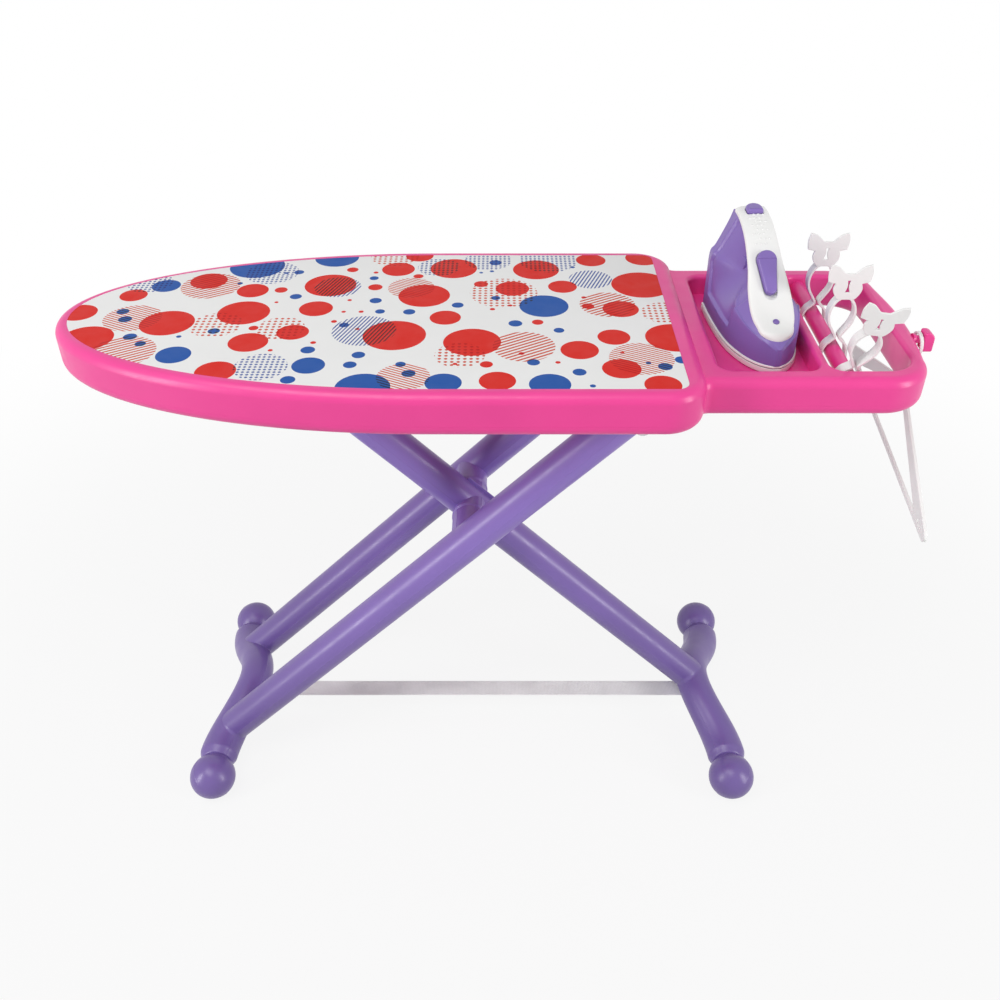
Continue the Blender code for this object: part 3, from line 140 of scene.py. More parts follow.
# Hook and hanger
HOOK_Y = -0.0280
HOOK_Z = 0.4965
HOOK_END = 0.4035
HOOK_ARM_RADIUS = 0.0035
HOOK_COLLAR = ((0.0, 0.0052), (0.0026, 0.0046), (0.0034, HOOK_ARM_RADIUS))  # place, radius
HOOK_BLOCK = (0.0093, 0.0120, 0.0095, 0.0080)  # length, width, below and above the arm
HANGER_X = 0.3920
HANGER_TILT = math.radians(10.0)  # front tip down, as it hangs at rest
HANGER_HALF_SPAN = 0.1350
HANGER_THICKNESS = 0.0030
HANGER_EYE_INNER = 0.0090
HANGER_EYE_BAND = 0.0022
HANGER_NECK = 0.0035
HANGER_PEAK = 0.0457
HANGER_TIP = 0.1147
HANGER_TIP_HEIGHT = 0.0110
HANGER_BAND = 0.0045
HANGER_INNER_HALF = 0.1060  # half width of the opening
HANGER_SLOT = ((0.1120, -0.1101), (0.1225, -0.1101), (0.1225, -0.1075), (0.1120, -0.1075))
HANGER_ROLL = 0.0006

# Clips: name, place along the rail, lean about the rail and pitch along it in degrees
CLIP_PLACES = (
    ("clip_far", 0.1235 - WINDOW_HALF, 0.0, 0.0),
    ("clip_middle", 0.0555 - WINDOW_HALF, 0.0, 0.0),
    ("clip_near", 0.0100 - WINDOW_HALF, 8.0, 15.0),
)
CLIP_BAND = 0.0020
CLIP_DEPTH = 0.0090
CLIP_EDGE = 0.0004
CLIP_BOW_RISE = 0.0647
CLIP_BOW_PROUD = 0.0002
# Half of the band's middle line, from the leg's end over the pinch to the top of the ring
CLIP_LINE = (
    (0.0112, -0.0065), (0.0106, -0.0020), (0.0102, 0.0025), (0.0084, 0.0076), (0.0048, 0.0112),
    (0.0024, 0.0138), (0.0024, 0.0161), (0.0052, 0.0209), (0.0088, 0.0270), (0.0107, 0.0341),
    (0.0100, 0.0415), (0.0068, 0.0478), (0.0024, 0.0509),
)
# Half of the bow, as smooth stretches between its corners: upper wing, wing end, lower lobe
CLIP_BOW = (
    ((0.0014, 0.0077), (0.0040, 0.0080), (0.0072, 0.0108), (0.0110, 0.0138), (0.0165, 0.0155)),
    ((0.0165, 0.0155), (0.0182, 0.0085), (0.0172, 0.0006)),
    ((0.0172, 0.0006), (0.0108, -0.0010)),
    ((0.0108, -0.0010), (0.0120, -0.0058), (0.0103, -0.0108), (0.0068, -0.0148), (0.0020, -0.0150)),
)
CLIP_BOW_HOLE = ((0.0013, 0.0018), (0.0006, -0.0035), (0.0021, -0.0088))

# Toy iron
IRON_X = 0.2560
IRON_Y = -0.0020
IRON_YAW = math.radians(5.0)
IRON_SOLE_THICKNESS = 0.0075
IRON_SOLE_OVERHANG = 0.0015
IRON_COVER_THICKNESS = 0.0050
IRON_COVER_START = -0.0600
IRON_COVER_END = 0.0630
IRON_COVER_FRONT = 0.0130   # length of the cover's rounded front
IRON_COVER_EDGE = 0.0050    # over which the cover rises at its front
# Rim of the hollow beside the handle, seen from the side, from under the cover's heel round to the front
IRON_RECESS = ((0.0500, 0.1000), (0.0550, 0.0520), (0.0500, 0.0220), (-0.0140, 0.0200), (-0.0220, 0.0500))
IRON_RECESS_CORE = 0.0080
IRON_RECESS_RIM = 0.0024    # width of the step at the rim
IRON_RECESS_STEP = 0.0024
IRON_RECESS_SLOPE = 0.0360  # from the rim to the full depth
IRON_SCREW_PLACE = (0.0250, 0.0620)
IRON_BUTTON_PLACE = 0.0500
IRON_BUTTON_HALF = (0.0072, 0.0068)
IRON_SLIDER_PLACE = -0.0090
IRON_SLIDER_TRAVEL = 0.0040
IRON_LIGHT_PLACE = -0.0460
# Stations from the nose to the heel: place, body half width, shoulder height, cover half width, top height
IRON_STATIONS = (
    (-0.0650, 0.0020, 0.0265, 0.0012, 0.0280),
    (-0.0600, 0.0100, 0.0280, 0.0070, 0.0330),
    (-0.0510, 0.0178, 0.0300, 0.0132, 0.0370),
    (-0.0380, 0.0240, 0.0335, 0.0175, 0.0440),
    (-0.0200, 0.0290, 0.0390, 0.0178, 0.0570),
    (0.0000, 0.0312, 0.0450, 0.0150, 0.0740),
    (0.0225, 0.0318, 0.0505, 0.0137, 0.0900),
    (0.0430, 0.0315, 0.0550, 0.0134, 0.0985),
    (0.0630, 0.0305, 0.0575, 0.0134, 0.1010),
)
IRON_NOSE, IRON_HEEL = IRON_STATIONS[0][0], IRON_STATIONS[-1][0]
# Profiles of turned trim: radius, height
IRON_LENS = (
    (0.0026, -0.0018), (0.0026, 0.0002), (0.0022, 0.0006), (0.0017, 0.0006), (0.0014, 0.0001),
    (0.0007, 0.0004), (0.0001, 0.0005),
)
IRON_BOSS = (
    (0.0066, 0.0060), (0.0060, 0.0108), (0.0055, 0.0115), (0.0042, 0.0115), (0.0039, 0.0102),
    (0.0001, 0.0102),
)

# Colours, linear
PINK = (0.760, 0.045, 0.272)
PURPLE = (0.215, 0.138, 0.440)
LEG_PAINTED_LIGHT_TONES = (0.70, 1.26)  # painted shade at the feet and painted light at the upper end
LEG_PAINTED_LIGHT_FADE = 0.60         # length over which the painted shade at the feet turns to painted light
IRON_PURPLE = (0.205, 0.130, 0.420)
PURPLE_ROUGHNESS = 0.335
PLASTIC_GRAIN = 0.00002
WHITE = (0.800, 0.800, 0.790)
SHEET_WHITE = (0.800, 0.800, 0.795)
PRINT_RED = (0.640, 0.016, 0.009)
PRINT_BLUE = (0.010, 0.080, 0.340)
HATCH_RED = (0.720, 0.110, 0.060)
HATCH_BLUE = (0.090, 0.140, 0.420)
# Painted shade for the groove round the iron's soleplate
GROOVE_PAINTED_SHADE_GREY = (0.200, 0.200, 0.205)
STRAP_GREY = (0.860, 0.850, 0.845)
STEEL = (0.600, 0.610, 0.630)

# Studio
CAMERA_PLACE = (0.030, -0.8055, 0.8988)
CAMERA_TILT = math.radians(53.5)
FLOOR_GREY = (0.55, 0.55, 0.55, 1.0)
FLOOR_HALF = 12.0
PURE_WHITE = (1.0, 1.0, 1.0, 1.0)
AMBIENT = 0.45          # share of the surround's strength that lights the object
LAMP_AIM = (0.0, 0.0, 0.40)

# Where the drawings go
DATUM = Matrix.Translation((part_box("board_top_shell")[0].x - NOSE_END, 0.0, 0.0))
LEG_TILT = Matrix.Rotation(math.pi / 2 - LEG_ANGLE, 4, "Y")
LEG_A = DATUM @ Matrix.Translation((0.0, 0.0, PIVOT_HEIGHT)) @ LEG_TILT
LEG_B = DATUM @ Matrix.Translation((HINGE_X, 0.0, HINGE_HEIGHT)) @ LEG_TILT.transposed()
IRON = DATUM @ Matrix.Translation((IRON_X, IRON_Y, BAY_FLOOR + GAP)) @ Matrix.Rotation(IRON_YAW, 4, "Z")
HANGER = DATUM @ Matrix.Translation((HANGER_X, HOOK_Y, HOOK_Z))


# Materials


def new_material(name):
    """A material, its node tree and its shader."""
    made = bpy.data.materials.new(name)
    made.use_nodes = True
    return made, made.node_tree, made.node_tree.nodes["Principled BSDF"]


def feed(tree, socket, value):
    """Links an output into a socket, or sets the socket to a plain value."""
    if isinstance(value, bpy.types.NodeSocket):
        tree.links.new(value, socket)
    else:
        socket.default_value = value


def added(tree, kind, **values):
    """A new shader node, with the named inputs linked or set."""
    node = tree.nodes.new("ShaderNode" + kind)
    for name, value in values.items():
        feed(tree, node.inputs[name.replace("_", " ")], value)
    return node


def maths(tree, operation, first, second=0.0):
    """One arithmetic node on sockets or numbers."""
    node = added(tree, "Math")
    node.operation = operation
    feed(tree, node.inputs[0], first)
    feed(tree, node.inputs[1], second)
    return node.outputs[0]


def mixed(tree, share, first, second, blend="MIX"):
    """Mixes two colours, each a socket or a plain colour."""
    node = added(tree, "Mix")
    node.data_type = "RGBA"
    node.blend_type = blend
    feed(tree, node.inputs[0], share)
    for socket, colour in ((node.inputs[6], first), (node.inputs[7], second)):
        feed(tree, socket, (*colour, 1.0) if isinstance(colour, tuple) else colour)
    return node.outputs[2]


def noise(tree, scale, detail=2.0):
    """A noise that keeps to the piece, as a number about one half."""
    place = added(tree, "TexCoord").outputs["Object"]
    return added(tree, "TexNoise", Vector=place, Scale=scale, Detail=detail).outputs[0]


def coordinates(tree):
    """The piece's own X, Y and Z, and the point itself."""
    place = added(tree, "TexCoord").outputs["Object"]
    return (*added(tree, "SeparateXYZ", Vector=place).outputs, place)


def ranged(tree, value, low, high, start=0.25, end=0.75):
    """Spreads a stretch of values, by default the middle of a noise, over a range."""
    node = added(tree, "MapRange", Value=value, From_Min=start, From_Max=end, To_Min=low, To_Max=high)
    node.interpolation_type = "SMOOTHSTEP"
    return node.outputs[0]


def bumped(tree, shader, height, distance):
    """Roughens a shader's surface by a height map."""
    node = added(tree, "Bump", Strength=1.0, Distance=distance, Height=height)
    tree.links.new(node.outputs["Normal"], shader.inputs["Normal"])


def scaled(colour, factor):
    """A colour times a factor."""
    return tuple(min(channel * factor, 1.0) for channel in colour)


def drifting(tree, colour, low, high, scale, detail=2.0):
    """A colour whose tone drifts between two factors."""
    drift = ranged(tree, noise(tree, scale, detail), 0.0, 1.0)
    return mixed(tree, drift, scaled(colour, low), scaled(colour, high))


def plastic(name, colour, roughness, tone=0.05):
    """Moulded plastic: slow drift of tone, flow marks in the gloss and a fine grain."""
    made, tree, shader = new_material(name)
    tree.links.new(drifting(tree, colour, 1.0 - tone, 1.0 + tone, 11.0), shader.inputs["Base Color"])
    gloss = ranged(tree, noise(tree, 65.0, 3.0), roughness - 0.05, roughness + 0.06)
    tree.links.new(gloss, shader.inputs["Roughness"])
    bumped(tree, shader, noise(tree, 120.0, 1.0), PLASTIC_GRAIN)
    return made


def leg_plastic_with_painted_light(name, foot_z):
    """The legs' plastic with painted light: painted shade at the feet that gives way to painted light
    towards the upper end.
    """
    made = plastic(name, PURPLE, PURPLE_ROUGHNESS)
    tree = made.node_tree
    # Painted light: the colour is multiplied darker at the feet and lighter higher up the leg.
    height = ranged(tree, coordinates(tree)[2], 0.0, 1.0, foot_z, foot_z + LEG_PAINTED_LIGHT_FADE)
    painted_light_tint = mixed(tree, height, *((tone, tone, tone) for tone in LEG_PAINTED_LIGHT_TONES))
    base = tree.nodes["Principled BSDF"].inputs["Base Color"]
    tree.links.new(mixed(tree, 1.0, base.links[0].from_socket, painted_light_tint, "MULTIPLY"), base)
    return made


def steel_finish():
    """Plated steel for pins and screws."""
    made, tree, shader = new_material("plated_steel")
    shader.inputs["Metallic"].default_value = 1.0
    tree.links.new(drifting(tree, STEEL, 0.9, 1.08, 120.0), shader.inputs["Base Color"])
    tree.links.new(ranged(tree, noise(tree, 300.0), 0.28, 0.42), shader.inputs["Roughness"])
    bumped(tree, shader, noise(tree, 1500.0), 0.00002)
    return made


def wave(tree, value, pitch):
    """A sine along a coordinate, one period for each pitch."""
    return maths(tree, "SINE", maths(tree, "MULTIPLY", value, 2 * math.pi / pitch))


def webbing():
    """Flat woven strap: ribs across, threads along, a tone that drifts at random and painted shade in the
    weave's valleys.
    """
    made, tree, shader = new_material("strap_webbing")
    along, across, *_ = coordinates(tree)
    ribs = wave(tree, along, 0.0016)
    threads = wave(tree, across, 0.0009)
    weave = maths(tree, "MULTIPLY", ribs, threads)
    height = maths(tree, "ADD", maths(tree, "MULTIPLY", weave, 0.5), maths(tree, "MULTIPLY", ribs, 0.5))
    cloth = drifting(tree, STRAP_GREY, 0.90, 1.06, 30.0, 4.0)
    # Painted shade: the colour darkens in the weave's valleys, where the bump is low.
    painted_valley_shade = maths(tree, "MULTIPLY", maths(tree, "SUBTRACT", 1.0, height), 0.10)
    tree.links.new(mixed(tree, painted_valley_shade, cloth, scaled(STRAP_GREY, 0.5)), shader.inputs["Base Color"])
    shader.inputs["Roughness"].default_value = 0.75
    shader.inputs["Sheen Weight"].default_value = 0.25
    bumped(tree, shader, height, 0.00012)
    return made


def scatter(thrower, count, radii, spacing, taken):
    """Throws discs at the cover and keeps those that stay clear of the ones already there."""
    half = BOARD_HALF_WIDTH - COVER_INSET
    kept = []
    for _ in range(count * 300):
        if len(kept) == count:
            break
        x = thrower.uniform(NOSE_END + COVER_INSET, BOARD_END - COVER_END_INSET)
        y = thrower.uniform(-half, half)
        radius = thrower.uniform(*radii)
        nose = (x - NOSE_CENTRE) / (NOSE_LENGTH - COVER_INSET) if x < NOSE_CENTRE else 0.0
        if math.hypot(nose, y / half) > 1.0:
            continue
        if all(math.hypot(x - a, y - b) > radius + other + spacing for a, b, other in taken + kept):
            kept.append((x, y, radius))
    return kept


def within(tree, point, discs):
    """1 inside any of the discs and 0 elsewhere."""
    reach = None
    for x, y, radius in discs:
        away = added(tree, "VectorMath")
        away.operation = "DISTANCE"
        tree.links.new(point, away.inputs[0])
        away.inputs[1].default_value = (x, y, BOARD_TOP)
        inside = maths(tree, "SUBTRACT", radius, away.outputs["Value"])
        reach = inside if reach is None else maths(tree, "MAXIMUM", reach, inside)
    return maths(tree, "GREATER_THAN", reach, 0.0)


def hatch(tree, x, y, angle, pitch, share):
    """Parallel lines at an angle in degrees, covering a share of the area."""
    turn = math.radians(angle)
    across = maths(
        tree, "ADD", maths(tree, "MULTIPLY", x, -math.sin(turn)), maths(tree, "MULTIPLY", y, math.cos(turn))
    )
    return maths(tree, "GREATER_THAN", wave(tree, across, pitch), math.cos(math.pi * share))


def halftone(tree, x, y, pitch, level):
    """A square grid of round dots."""
    grid = maths(tree, "ADD", wave(tree, x, pitch), wave(tree, y, pitch))
    return maths(tree, "GREATER_THAN", grid, level)


def printed_cover():
    """The cover's print: plain discs in two colours, overprinted with hatched and dotted ones."""
    made, tree, shader = new_material("printed_cover")
    x, y, _, point = coordinates(tree)
    thrower = random.Random(29)
    large = scatter(thrower, 15, (0.0205, 0.0280), 0.0160, [])
    medium = scatter(thrower, 26, (0.0120, 0.0175), 0.0060, large)
    small = scatter(thrower, 36, (0.0042, 0.0066), 0.0050, large + medium)
    specks = scatter(thrower, 24, (0.0018, 0.0026), 0.0040, large + medium + small)
    hatched = scatter(thrower, 11, (0.0200, 0.0290), 0.0100, [])
    dotted = scatter(thrower, 12, (0.0200, 0.0310), 0.0060, hatched)
    plain = large + medium + small + specks
    blue = large[2::4] + medium[2::5] + small[::2] + small[3::4] + specks[1::3]
    red = [disc for disc in plain if disc not in blue]
    colour = drifting(tree, SHEET_WHITE, 0.985, 1.01, 14.0)
    colour = mixed(tree, within(tree, point, red), colour, PRINT_RED)
    colour = mixed(tree, within(tree, point, blue), colour, PRINT_BLUE)
    overprints = (
        (hatched[::3], hatch(tree, x, y, 32.0, 0.0042, 0.48), HATCH_RED),
        (hatched[1::3], hatch(tree, x, y, -28.0, 0.0032, 0.45), HATCH_RED),
        (hatched[2::3], hatch(tree, x, y, 70.0, 0.0032, 0.42), HATCH_BLUE),
        (dotted[::2], halftone(tree, x, y, 0.0052, 0.70), HATCH_RED),
        (dotted[1::2], halftone(tree, x, y, 0.0042, 0.55), HATCH_BLUE),
    )
    for discs, lines, ink in overprints:
        share = maths(tree, "MULTIPLY", within(tree, point, discs), lines)
        colour = mixed(tree, share, colour, ink, "MULTIPLY")
    tree.links.new(colour, shader.inputs["Base Color"])
    tree.links.new(ranged(tree, noise(tree, 80.0, 3.0), 0.46, 0.58), shader.inputs["Roughness"])
    shader.inputs["Specular IOR Level"].default_value = 0.2
    bumped(tree, shader, noise(tree, 120.0, 1.0), 0.00001)
    return made


MATERIALS = {
    "pink": plastic("pink_plastic", PINK, 0.35, 0.04),
    # The legs' materials carry painted shade at the feet and painted light higher up.
    "leg_a": leg_plastic_with_painted_light("leg_a_plastic_painted_light", -LOWER_LEG),
    "leg_b": leg_plastic_with_painted_light("leg_b_plastic_painted_light", -UPPER_LEG - LOWER_LEG),
    "iron": plastic("iron_purple_plastic", IRON_PURPLE, PURPLE_ROUGHNESS, 0.04),
    "white": plastic("white_plastic", WHITE, 0.36, 0.02),
    # painted shade grey for the soleplate's groove
    "groove_painted_shade": plastic("groove_painted_shade_grey", GROOVE_PAINTED_SHADE_GREY, 0.45),
    "strap": webbing(),
    "print": printed_cover(),
    "steel": steel_finish(),
}


# Mesh building


def placed(name, data):
    """A new object in the scene."""
    made = bpy.data.objects.new(name, data)
    bpy.context.scene.collection.objects.link(made)
    return made


def mesh_object(name, build):
    """A mesh object whose bmesh the build function fills."""
    mesh = bpy.data.meshes.new(name)
    shape = bmesh.new()
    build(shape)
    bmesh.ops.recalc_face_normals(shape, faces=shape.faces)
    shape.to_mesh(mesh)
    shape.free()
    return placed(name, mesh)


def finish(piece, look, body, nodes, place=DATUM, sharp=35.0):
    """Gives a piece its material, shading and place, ties it to its CAD body and hides the CAD nodes it
    stands in for.
    """
    piece.data.materials.append(MATERIALS[look])
    piece.data.shade_smooth()
    piece.data.set_sharp_from_angle(angle=math.radians(sharp))
    normals = piece.modifiers.new("weighted_normals", "WEIGHTED_NORMAL")
    normals.keep_sharp = True
    piece.matrix_world = place
    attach(piece, body)
    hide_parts(*nodes)


def welded(mesh, reach, recalculate=False):
    """Joins a mesh's doubled points and dissolves the edges within its flat faces."""
    shape = bmesh.new()
    shape.from_mesh(mesh)
    bmesh.ops.remove_doubles(shape, verts=shape.verts, dist=reach)
    bmesh.ops.dissolve_limit(shape, angle_limit=0.002, verts=shape.verts, edges=shape.edges)
    if recalculate:
        bmesh.ops.recalc_face_normals(shape, faces=shape.faces)
    shape.to_mesh(mesh)
    shape.free()
    return mesh


def evaluated_mesh(holder):
    """A new mesh of what an object's modifiers or curve settings make of it."""
    bpy.context.view_layer.update()
    graph = bpy.context.evaluated_depsgraph_get()
    return bpy.data.meshes.new_from_object(holder.evaluated_get(graph))


def bake(piece):
    """Replaces a piece's mesh by what its modifiers make of it."""
    mesh = evaluated_mesh(piece)
    piece.modifiers.clear()
    piece.data = welded(mesh, 0.000002)


def combine(piece, operation, *others):
    """Joins other objects to a piece or cuts them from it, and removes them."""
    for other in others:
        step = piece.modifiers.new(operation.lower(), "BOOLEAN")
        step.operation = operation
        step.solver = "EXACT"
        step.object = other
    bake(piece)
    for other in others:
        bpy.data.objects.remove(other, do_unlink=True)


def block(name, low, high, rounding=0.0):
    """A box between two corners, with its edges rounded."""
    low, high = Vector(low), Vector(high)
    place = Matrix.Translation((low + high) / 2) @ Matrix.Diagonal((*(high - low), 1.0))
    made = mesh_object(name, lambda shape: bmesh.ops.create_cube(shape, size=1.0, matrix=place))
    if rounding:
        bevel = made.modifiers.new("rounded_edges", "BEVEL")
        bevel.width = rounding
        bevel.segments = 2
        bake(made)
    return made


def plate(name, outlines, low, high, roll=0.0, segments=4):
    """A flat plate from closed outlines, holes included, with its edges rolled to a radius."""
    curve = bpy.data.curves.new(name, "CURVE")
    curve.dimensions = "2D"
    curve.fill_mode = "BOTH"
    curve.extrude = (high - low) / 2 - roll
    curve.bevel_depth = roll
    curve.bevel_resolution = segments
    curve.offset = -roll
    for outline in outlines:
        strand = curve.splines.new("POLY")
        strand.use_cyclic_u = True
        strand.points.add(len(outline) - 1)
        for knot, (x, y) in zip(strand.points, outline):
            knot.co = (x, y, 0.0, 1.0)
    holder = placed(name + "_curve", curve)
    mesh = welded(evaluated_mesh(holder), 0.000005, recalculate=True)
    bpy.data.objects.remove(holder, do_unlink=True)
    mesh.transform(Matrix.Translation((0.0, 0.0, (low + high) / 2)))
    mesh.materials.clear()
    return placed(name, mesh)


def skin(shape, rings):
    """Faces through a row of rings that have the same number of points, capped at both ends."""
    rows = [[shape.verts.new(point) for point in ring] for ring in rings]
    count = len(rows[0])
    for near, far in zip(rows, rows[1:]):
        for i in range(count):
            j = (i + 1) % count
            shape.faces.new((near[i], near[j], far[j], far[i]))
    shape.faces.new(rows[0])
    shape.faces.new(rows[-1])


def loft(name, rings):
    """A closed mesh through a row of rings."""
    return mesh_object(name, lambda shape: skin(shape, rings))


def arc(centre, radius_x, radius_y, start, end, steps):
    """Points on an elliptical arc, angles in degrees, both ends included."""
    points = []
    for i in range(steps + 1):
        angle = math.radians(start + (end - start) * i / steps)
        points.append((centre[0] + radius_x * math.cos(angle), centre[1] + radius_y * math.sin(angle)))
    return points


def circle(radius, count, centre=(0.0, 0.0)):
    """Points spread evenly round a circle."""
    return arc(centre, radius, radius, 0, 360 - 360 / count, count - 1)


def smooth_line(points, steps):
    """An open line through the points, on a Catmull-Rom curve."""
    points = [Vector(point) for point in points]
    last = len(points) - 1
    line = []
    for k in range(last):
        before, first, second, after = (points[max(0, min(last, k + i))] for i in (-1, 0, 1, 2))
        for i in range(steps):
            t = i / steps
            line.append(
                first
                + (second - before) * (t / 2)
                + (before * 2 - first * 5 + second * 4 - after) * (t * t / 2)
                + (first * 3 - before - second * 3 + after) * (t * t * t / 2)
            )
    line.append(points[last])
    return line


def smoothstep(low, high, value):
    """A smooth step from 0 at the low value to 1 at the high one."""
    t = max(0.0, min(1.0, (value - low) / (high - low)))
    return t * t * (3 - 2 * t)


def upright(piece):
    """Turns a plate drawn flat so that its drawing faces the front."""
    piece.data.transform(Matrix.Rotation(math.pi / 2, 4, "X"))
    return piece


# Board


def rounded_rectangle(left, right, half, left_corner, right_corner):
    """A rectangle about the X axis, with its own corner radius at each end."""
    a, b, steps = left_corner, right_corner, 10
    return (
        arc((right - b, half - b), b, b, 0, 90, steps)
        + arc((left + a, half - a), a, a, 90, 180, steps)
        + arc((left + a, -half + a), a, a, 180, 270, steps)
        + arc((right - b, -half + b), b, b, 270, 360, steps)
    )


def board_outline(inset, end_inset, corner):
    """The board seen from above: straight sides, a half-elliptical nose and a square tray end."""
    half = BOARD_HALF_WIDTH - inset
    end = BOARD_END - end_inset
    return (
        arc((NOSE_CENTRE, 0.0), NOSE_LENGTH - inset, half, 90, 270, 128)
        + arc((end - corner, -half + corner), corner, corner, 270, 360, 14)
        + arc((end - corner, half - corner), corner, corner, 0, 90, 14)
    )


def tray_end_x(y):
    """Where the bowed end of the tray lies at a place across it."""
    straight = TRAY_HALF_WIDTH - TRAY_CORNER
    return TRAY_END - TRAY_BOW + TRAY_BOW * math.sin(math.pi * (y / straight + 1) / 2)


def tray_outline():
    """The tray seen from above, from inside the board to its bowed end."""
    start = BOARD_END - BOARD_CORNER - TRAY_NECK_FILLET
    fillet = TRAY_NECK_FILLET
    neck = (BOARD_END + fillet - TRAY_NECK_SINK, TRAY_HALF_WIDTH + fillet)
    side = TRAY_END - TRAY_BOW - TRAY_CORNER
    centre_y = TRAY_HALF_WIDTH - TRAY_CORNER
    places = [centre_y * (i / 10 - 1) for i in range(1, 20)]
    bow = [(tray_end_x(y), y) for y in places]
    lower = [(start, -neck[1])]
    lower += arc((neck[0], -neck[1]), fillet, fillet, 180, 90, 10)
    lower += arc((side, -centre_y), TRAY_CORNER, TRAY_CORNER, -90, 0, 16)
    upper = [(x, -y) for x, y in reversed(lower)]
    return lower + bow + upper


def hole_cutter(name, left, right, right_corner, bottom):
    """A cutter for an opening in the tray whose upper edge is rolled over."""
    roll = arc((HOLE_ROLL, TRAY_TOP - HOLE_ROLL), HOLE_ROLL, HOLE_ROLL, 180, 96, 6)
    rings = []
    for grow, z in [(0.0, bottom), *roll, (HOLE_ROLL, TRAY_TOP + 0.01)]:
        corners = (BAY_CORNER + grow, right_corner + grow)
        outline = rounded_rectangle(left - grow, right + grow, WINDOW_HALF + grow, *corners)
        rings.append([(x, y, z) for x, y in outline])
    return loft(name, rings)


def make_top_shell():
    """The deck with its rolled rim, the tray with its bay and slot, and the clip rail."""
    outline = board_outline(0.0, 0.0, BOARD_CORNER)
    deck = plate("deck_shell", [outline], BOARD_BOTTOM - SHELL_SPARE, BOARD_TOP, BOARD_ROLL, 7)
    tray = plate("tray_frame", [tray_outline()], BOARD_BOTTOM - 2 * SHELL_SPARE, TRAY_TOP, TRAY_ROLL, 7)
    bay = hole_cutter("bay_cutter", BAY_START, BAY_END, BAY_CORNER, BAY_FLOOR)
    slot = hole_cutter("slot_cutter", SLOT_START, SLOT_END, SLOT_CORNER, PARTING - 3 * SHELL_SPARE)
    combine(tray, "DIFFERENCE", bay, slot)
    combine(deck, "UNION", tray)
    combine(deck, "DIFFERENCE", block("below_parting", (-1.0, -1.0, -1.0), (1.0, 1.0, PARTING)))
    outline = board_outline(COVER_INSET - HAIRLINE, COVER_END_INSET - HAIRLINE, COVER_CORNER)
    recess = plate("cover_recess", [outline], BOARD_TOP - COVER_THICKNESS - HAIRLINE, BOARD_TOP + 0.003)
    combine(deck, "DIFFERENCE", recess)
    reach = WINDOW_HALF + TRAY_RIM / 2
    ring = circle(RAIL_RADIUS, 60)
    rail = loft("clip_rail", [[(RAIL_X + x, y, RAIL_Z + z) for x, z in ring] for y in (-reach, reach)])
    combine(deck, "UNION", rail)
    finish(deck, "pink", "board", ["board_top_shell"])


def make_base_shell():
    """The lower half of the board, up to the parting line."""
    top = BOARD_TOP + SHELL_SPARE
    base = plate("base_shell", [board_outline(0.0, 0.0, BOARD_CORNER)], BOARD_BOTTOM, top, BOARD_ROLL, 7)
    slot = rounded_rectangle(SLOT_START, SLOT_END, WINDOW_HALF, BAY_CORNER, SLOT_CORNER)
    outlines = [tray_outline(), slot]
    tray = plate("base_tray", outlines, BOARD_BOTTOM + HAIRLINE, top + SHELL_SPARE, TRAY_ROLL, 7)
    combine(base, "UNION", tray)
    above = block("above_parting", (-1.0, -1.0, PARTING - HAIRLINE), (1.0, 1.0, 1.0))
    combine(base, "DIFFERENCE", above)
    finish(base, "pink", "board", ["board_base_shell"])


def make_cover():
    """The printed cover, let into the deck."""
    outline = board_outline(COVER_INSET, COVER_END_INSET, COVER_CORNER)
    low, roll = BOARD_TOP - COVER_THICKNESS, COVER_THICKNESS * 0.25
    cover = plate("printed_sheet", [outline], low, BOARD_TOP, roll, 2)
    finish(cover, "print", "board", ["ironing_cover"])


def make_hook():
    """The peg at the tray's end: a collared arm and an end block with a rounded shoulder."""
    length, width, below, above = HOOK_BLOCK
    start = tray_end_x(HOOK_Y) - 0.002
    profile = [(start + x, radius) for x, radius in HOOK_COLLAR]
    profile.append((HOOK_END - length / 2, HOOK_ARM_RADIUS))
    rings = [[(x, HOOK_Y + y, HOOK_Z + z) for y, z in circle(radius, 36)] for x, radius in profile]
    hook = loft("hanger_peg", rings)
    left, right = HOOK_END - length, HOOK_END
    bottom, top = HOOK_Z - below, HOOK_Z + above
    corner, shoulder = 0.0015, 0.0062
    outline = (
        arc((right - shoulder, top - shoulder), shoulder, shoulder, 0, 90, 10)
        + arc((left + corner, top - corner), corner, corner, 90, 180, 4)
        + arc((left + corner, bottom + corner), corner, corner, 180, 270, 4)
        + arc((right - corner, bottom + corner), corner, corner, 270, 360, 4)
    )
    end_block = upright(plate("hook_block", [outline], -HOOK_Y - width / 2, -HOOK_Y + width / 2, 0.0012, 4))
    combine(hook, "UNION", end_block)
    finish(hook, "pink", "board", ["hanger_hook"])


# Legs


def seamed_ring():
    """Angles round a tube in radians with the lift of the mould seam, which runs along both sides."""
    ring = [(360.0 * (i + 0.5) / TUBE_SIDES - 180.0, 0.0) for i in range(TUBE_SIDES)]
    for seam in (-90.0, 90.0):
        ring += [(seam - SEAM_HALF_ANGLE, 0.0), (seam, SEAM_HEIGHT), (seam + SEAM_HALF_ANGLE, 0.0)]
    return [(math.radians(angle), lift) for angle, lift in sorted(ring)]


def seamed_circle(radius, z):
    """A level ring round a tube, with its seams."""
    return [((radius + lift) * math.cos(a), (radius + lift) * math.sin(a), z) for a, lift in seamed_ring()]


def bar_rise(y):
    """How far the foot bar's middle line stands above the ball line, measured along the leg."""
    share = min(abs(y) / (BAR_REACH - BAR_STRAIGHT), 1.0)
    return BAR_ARCH * (1 + math.cos(math.pi * share)) / 2


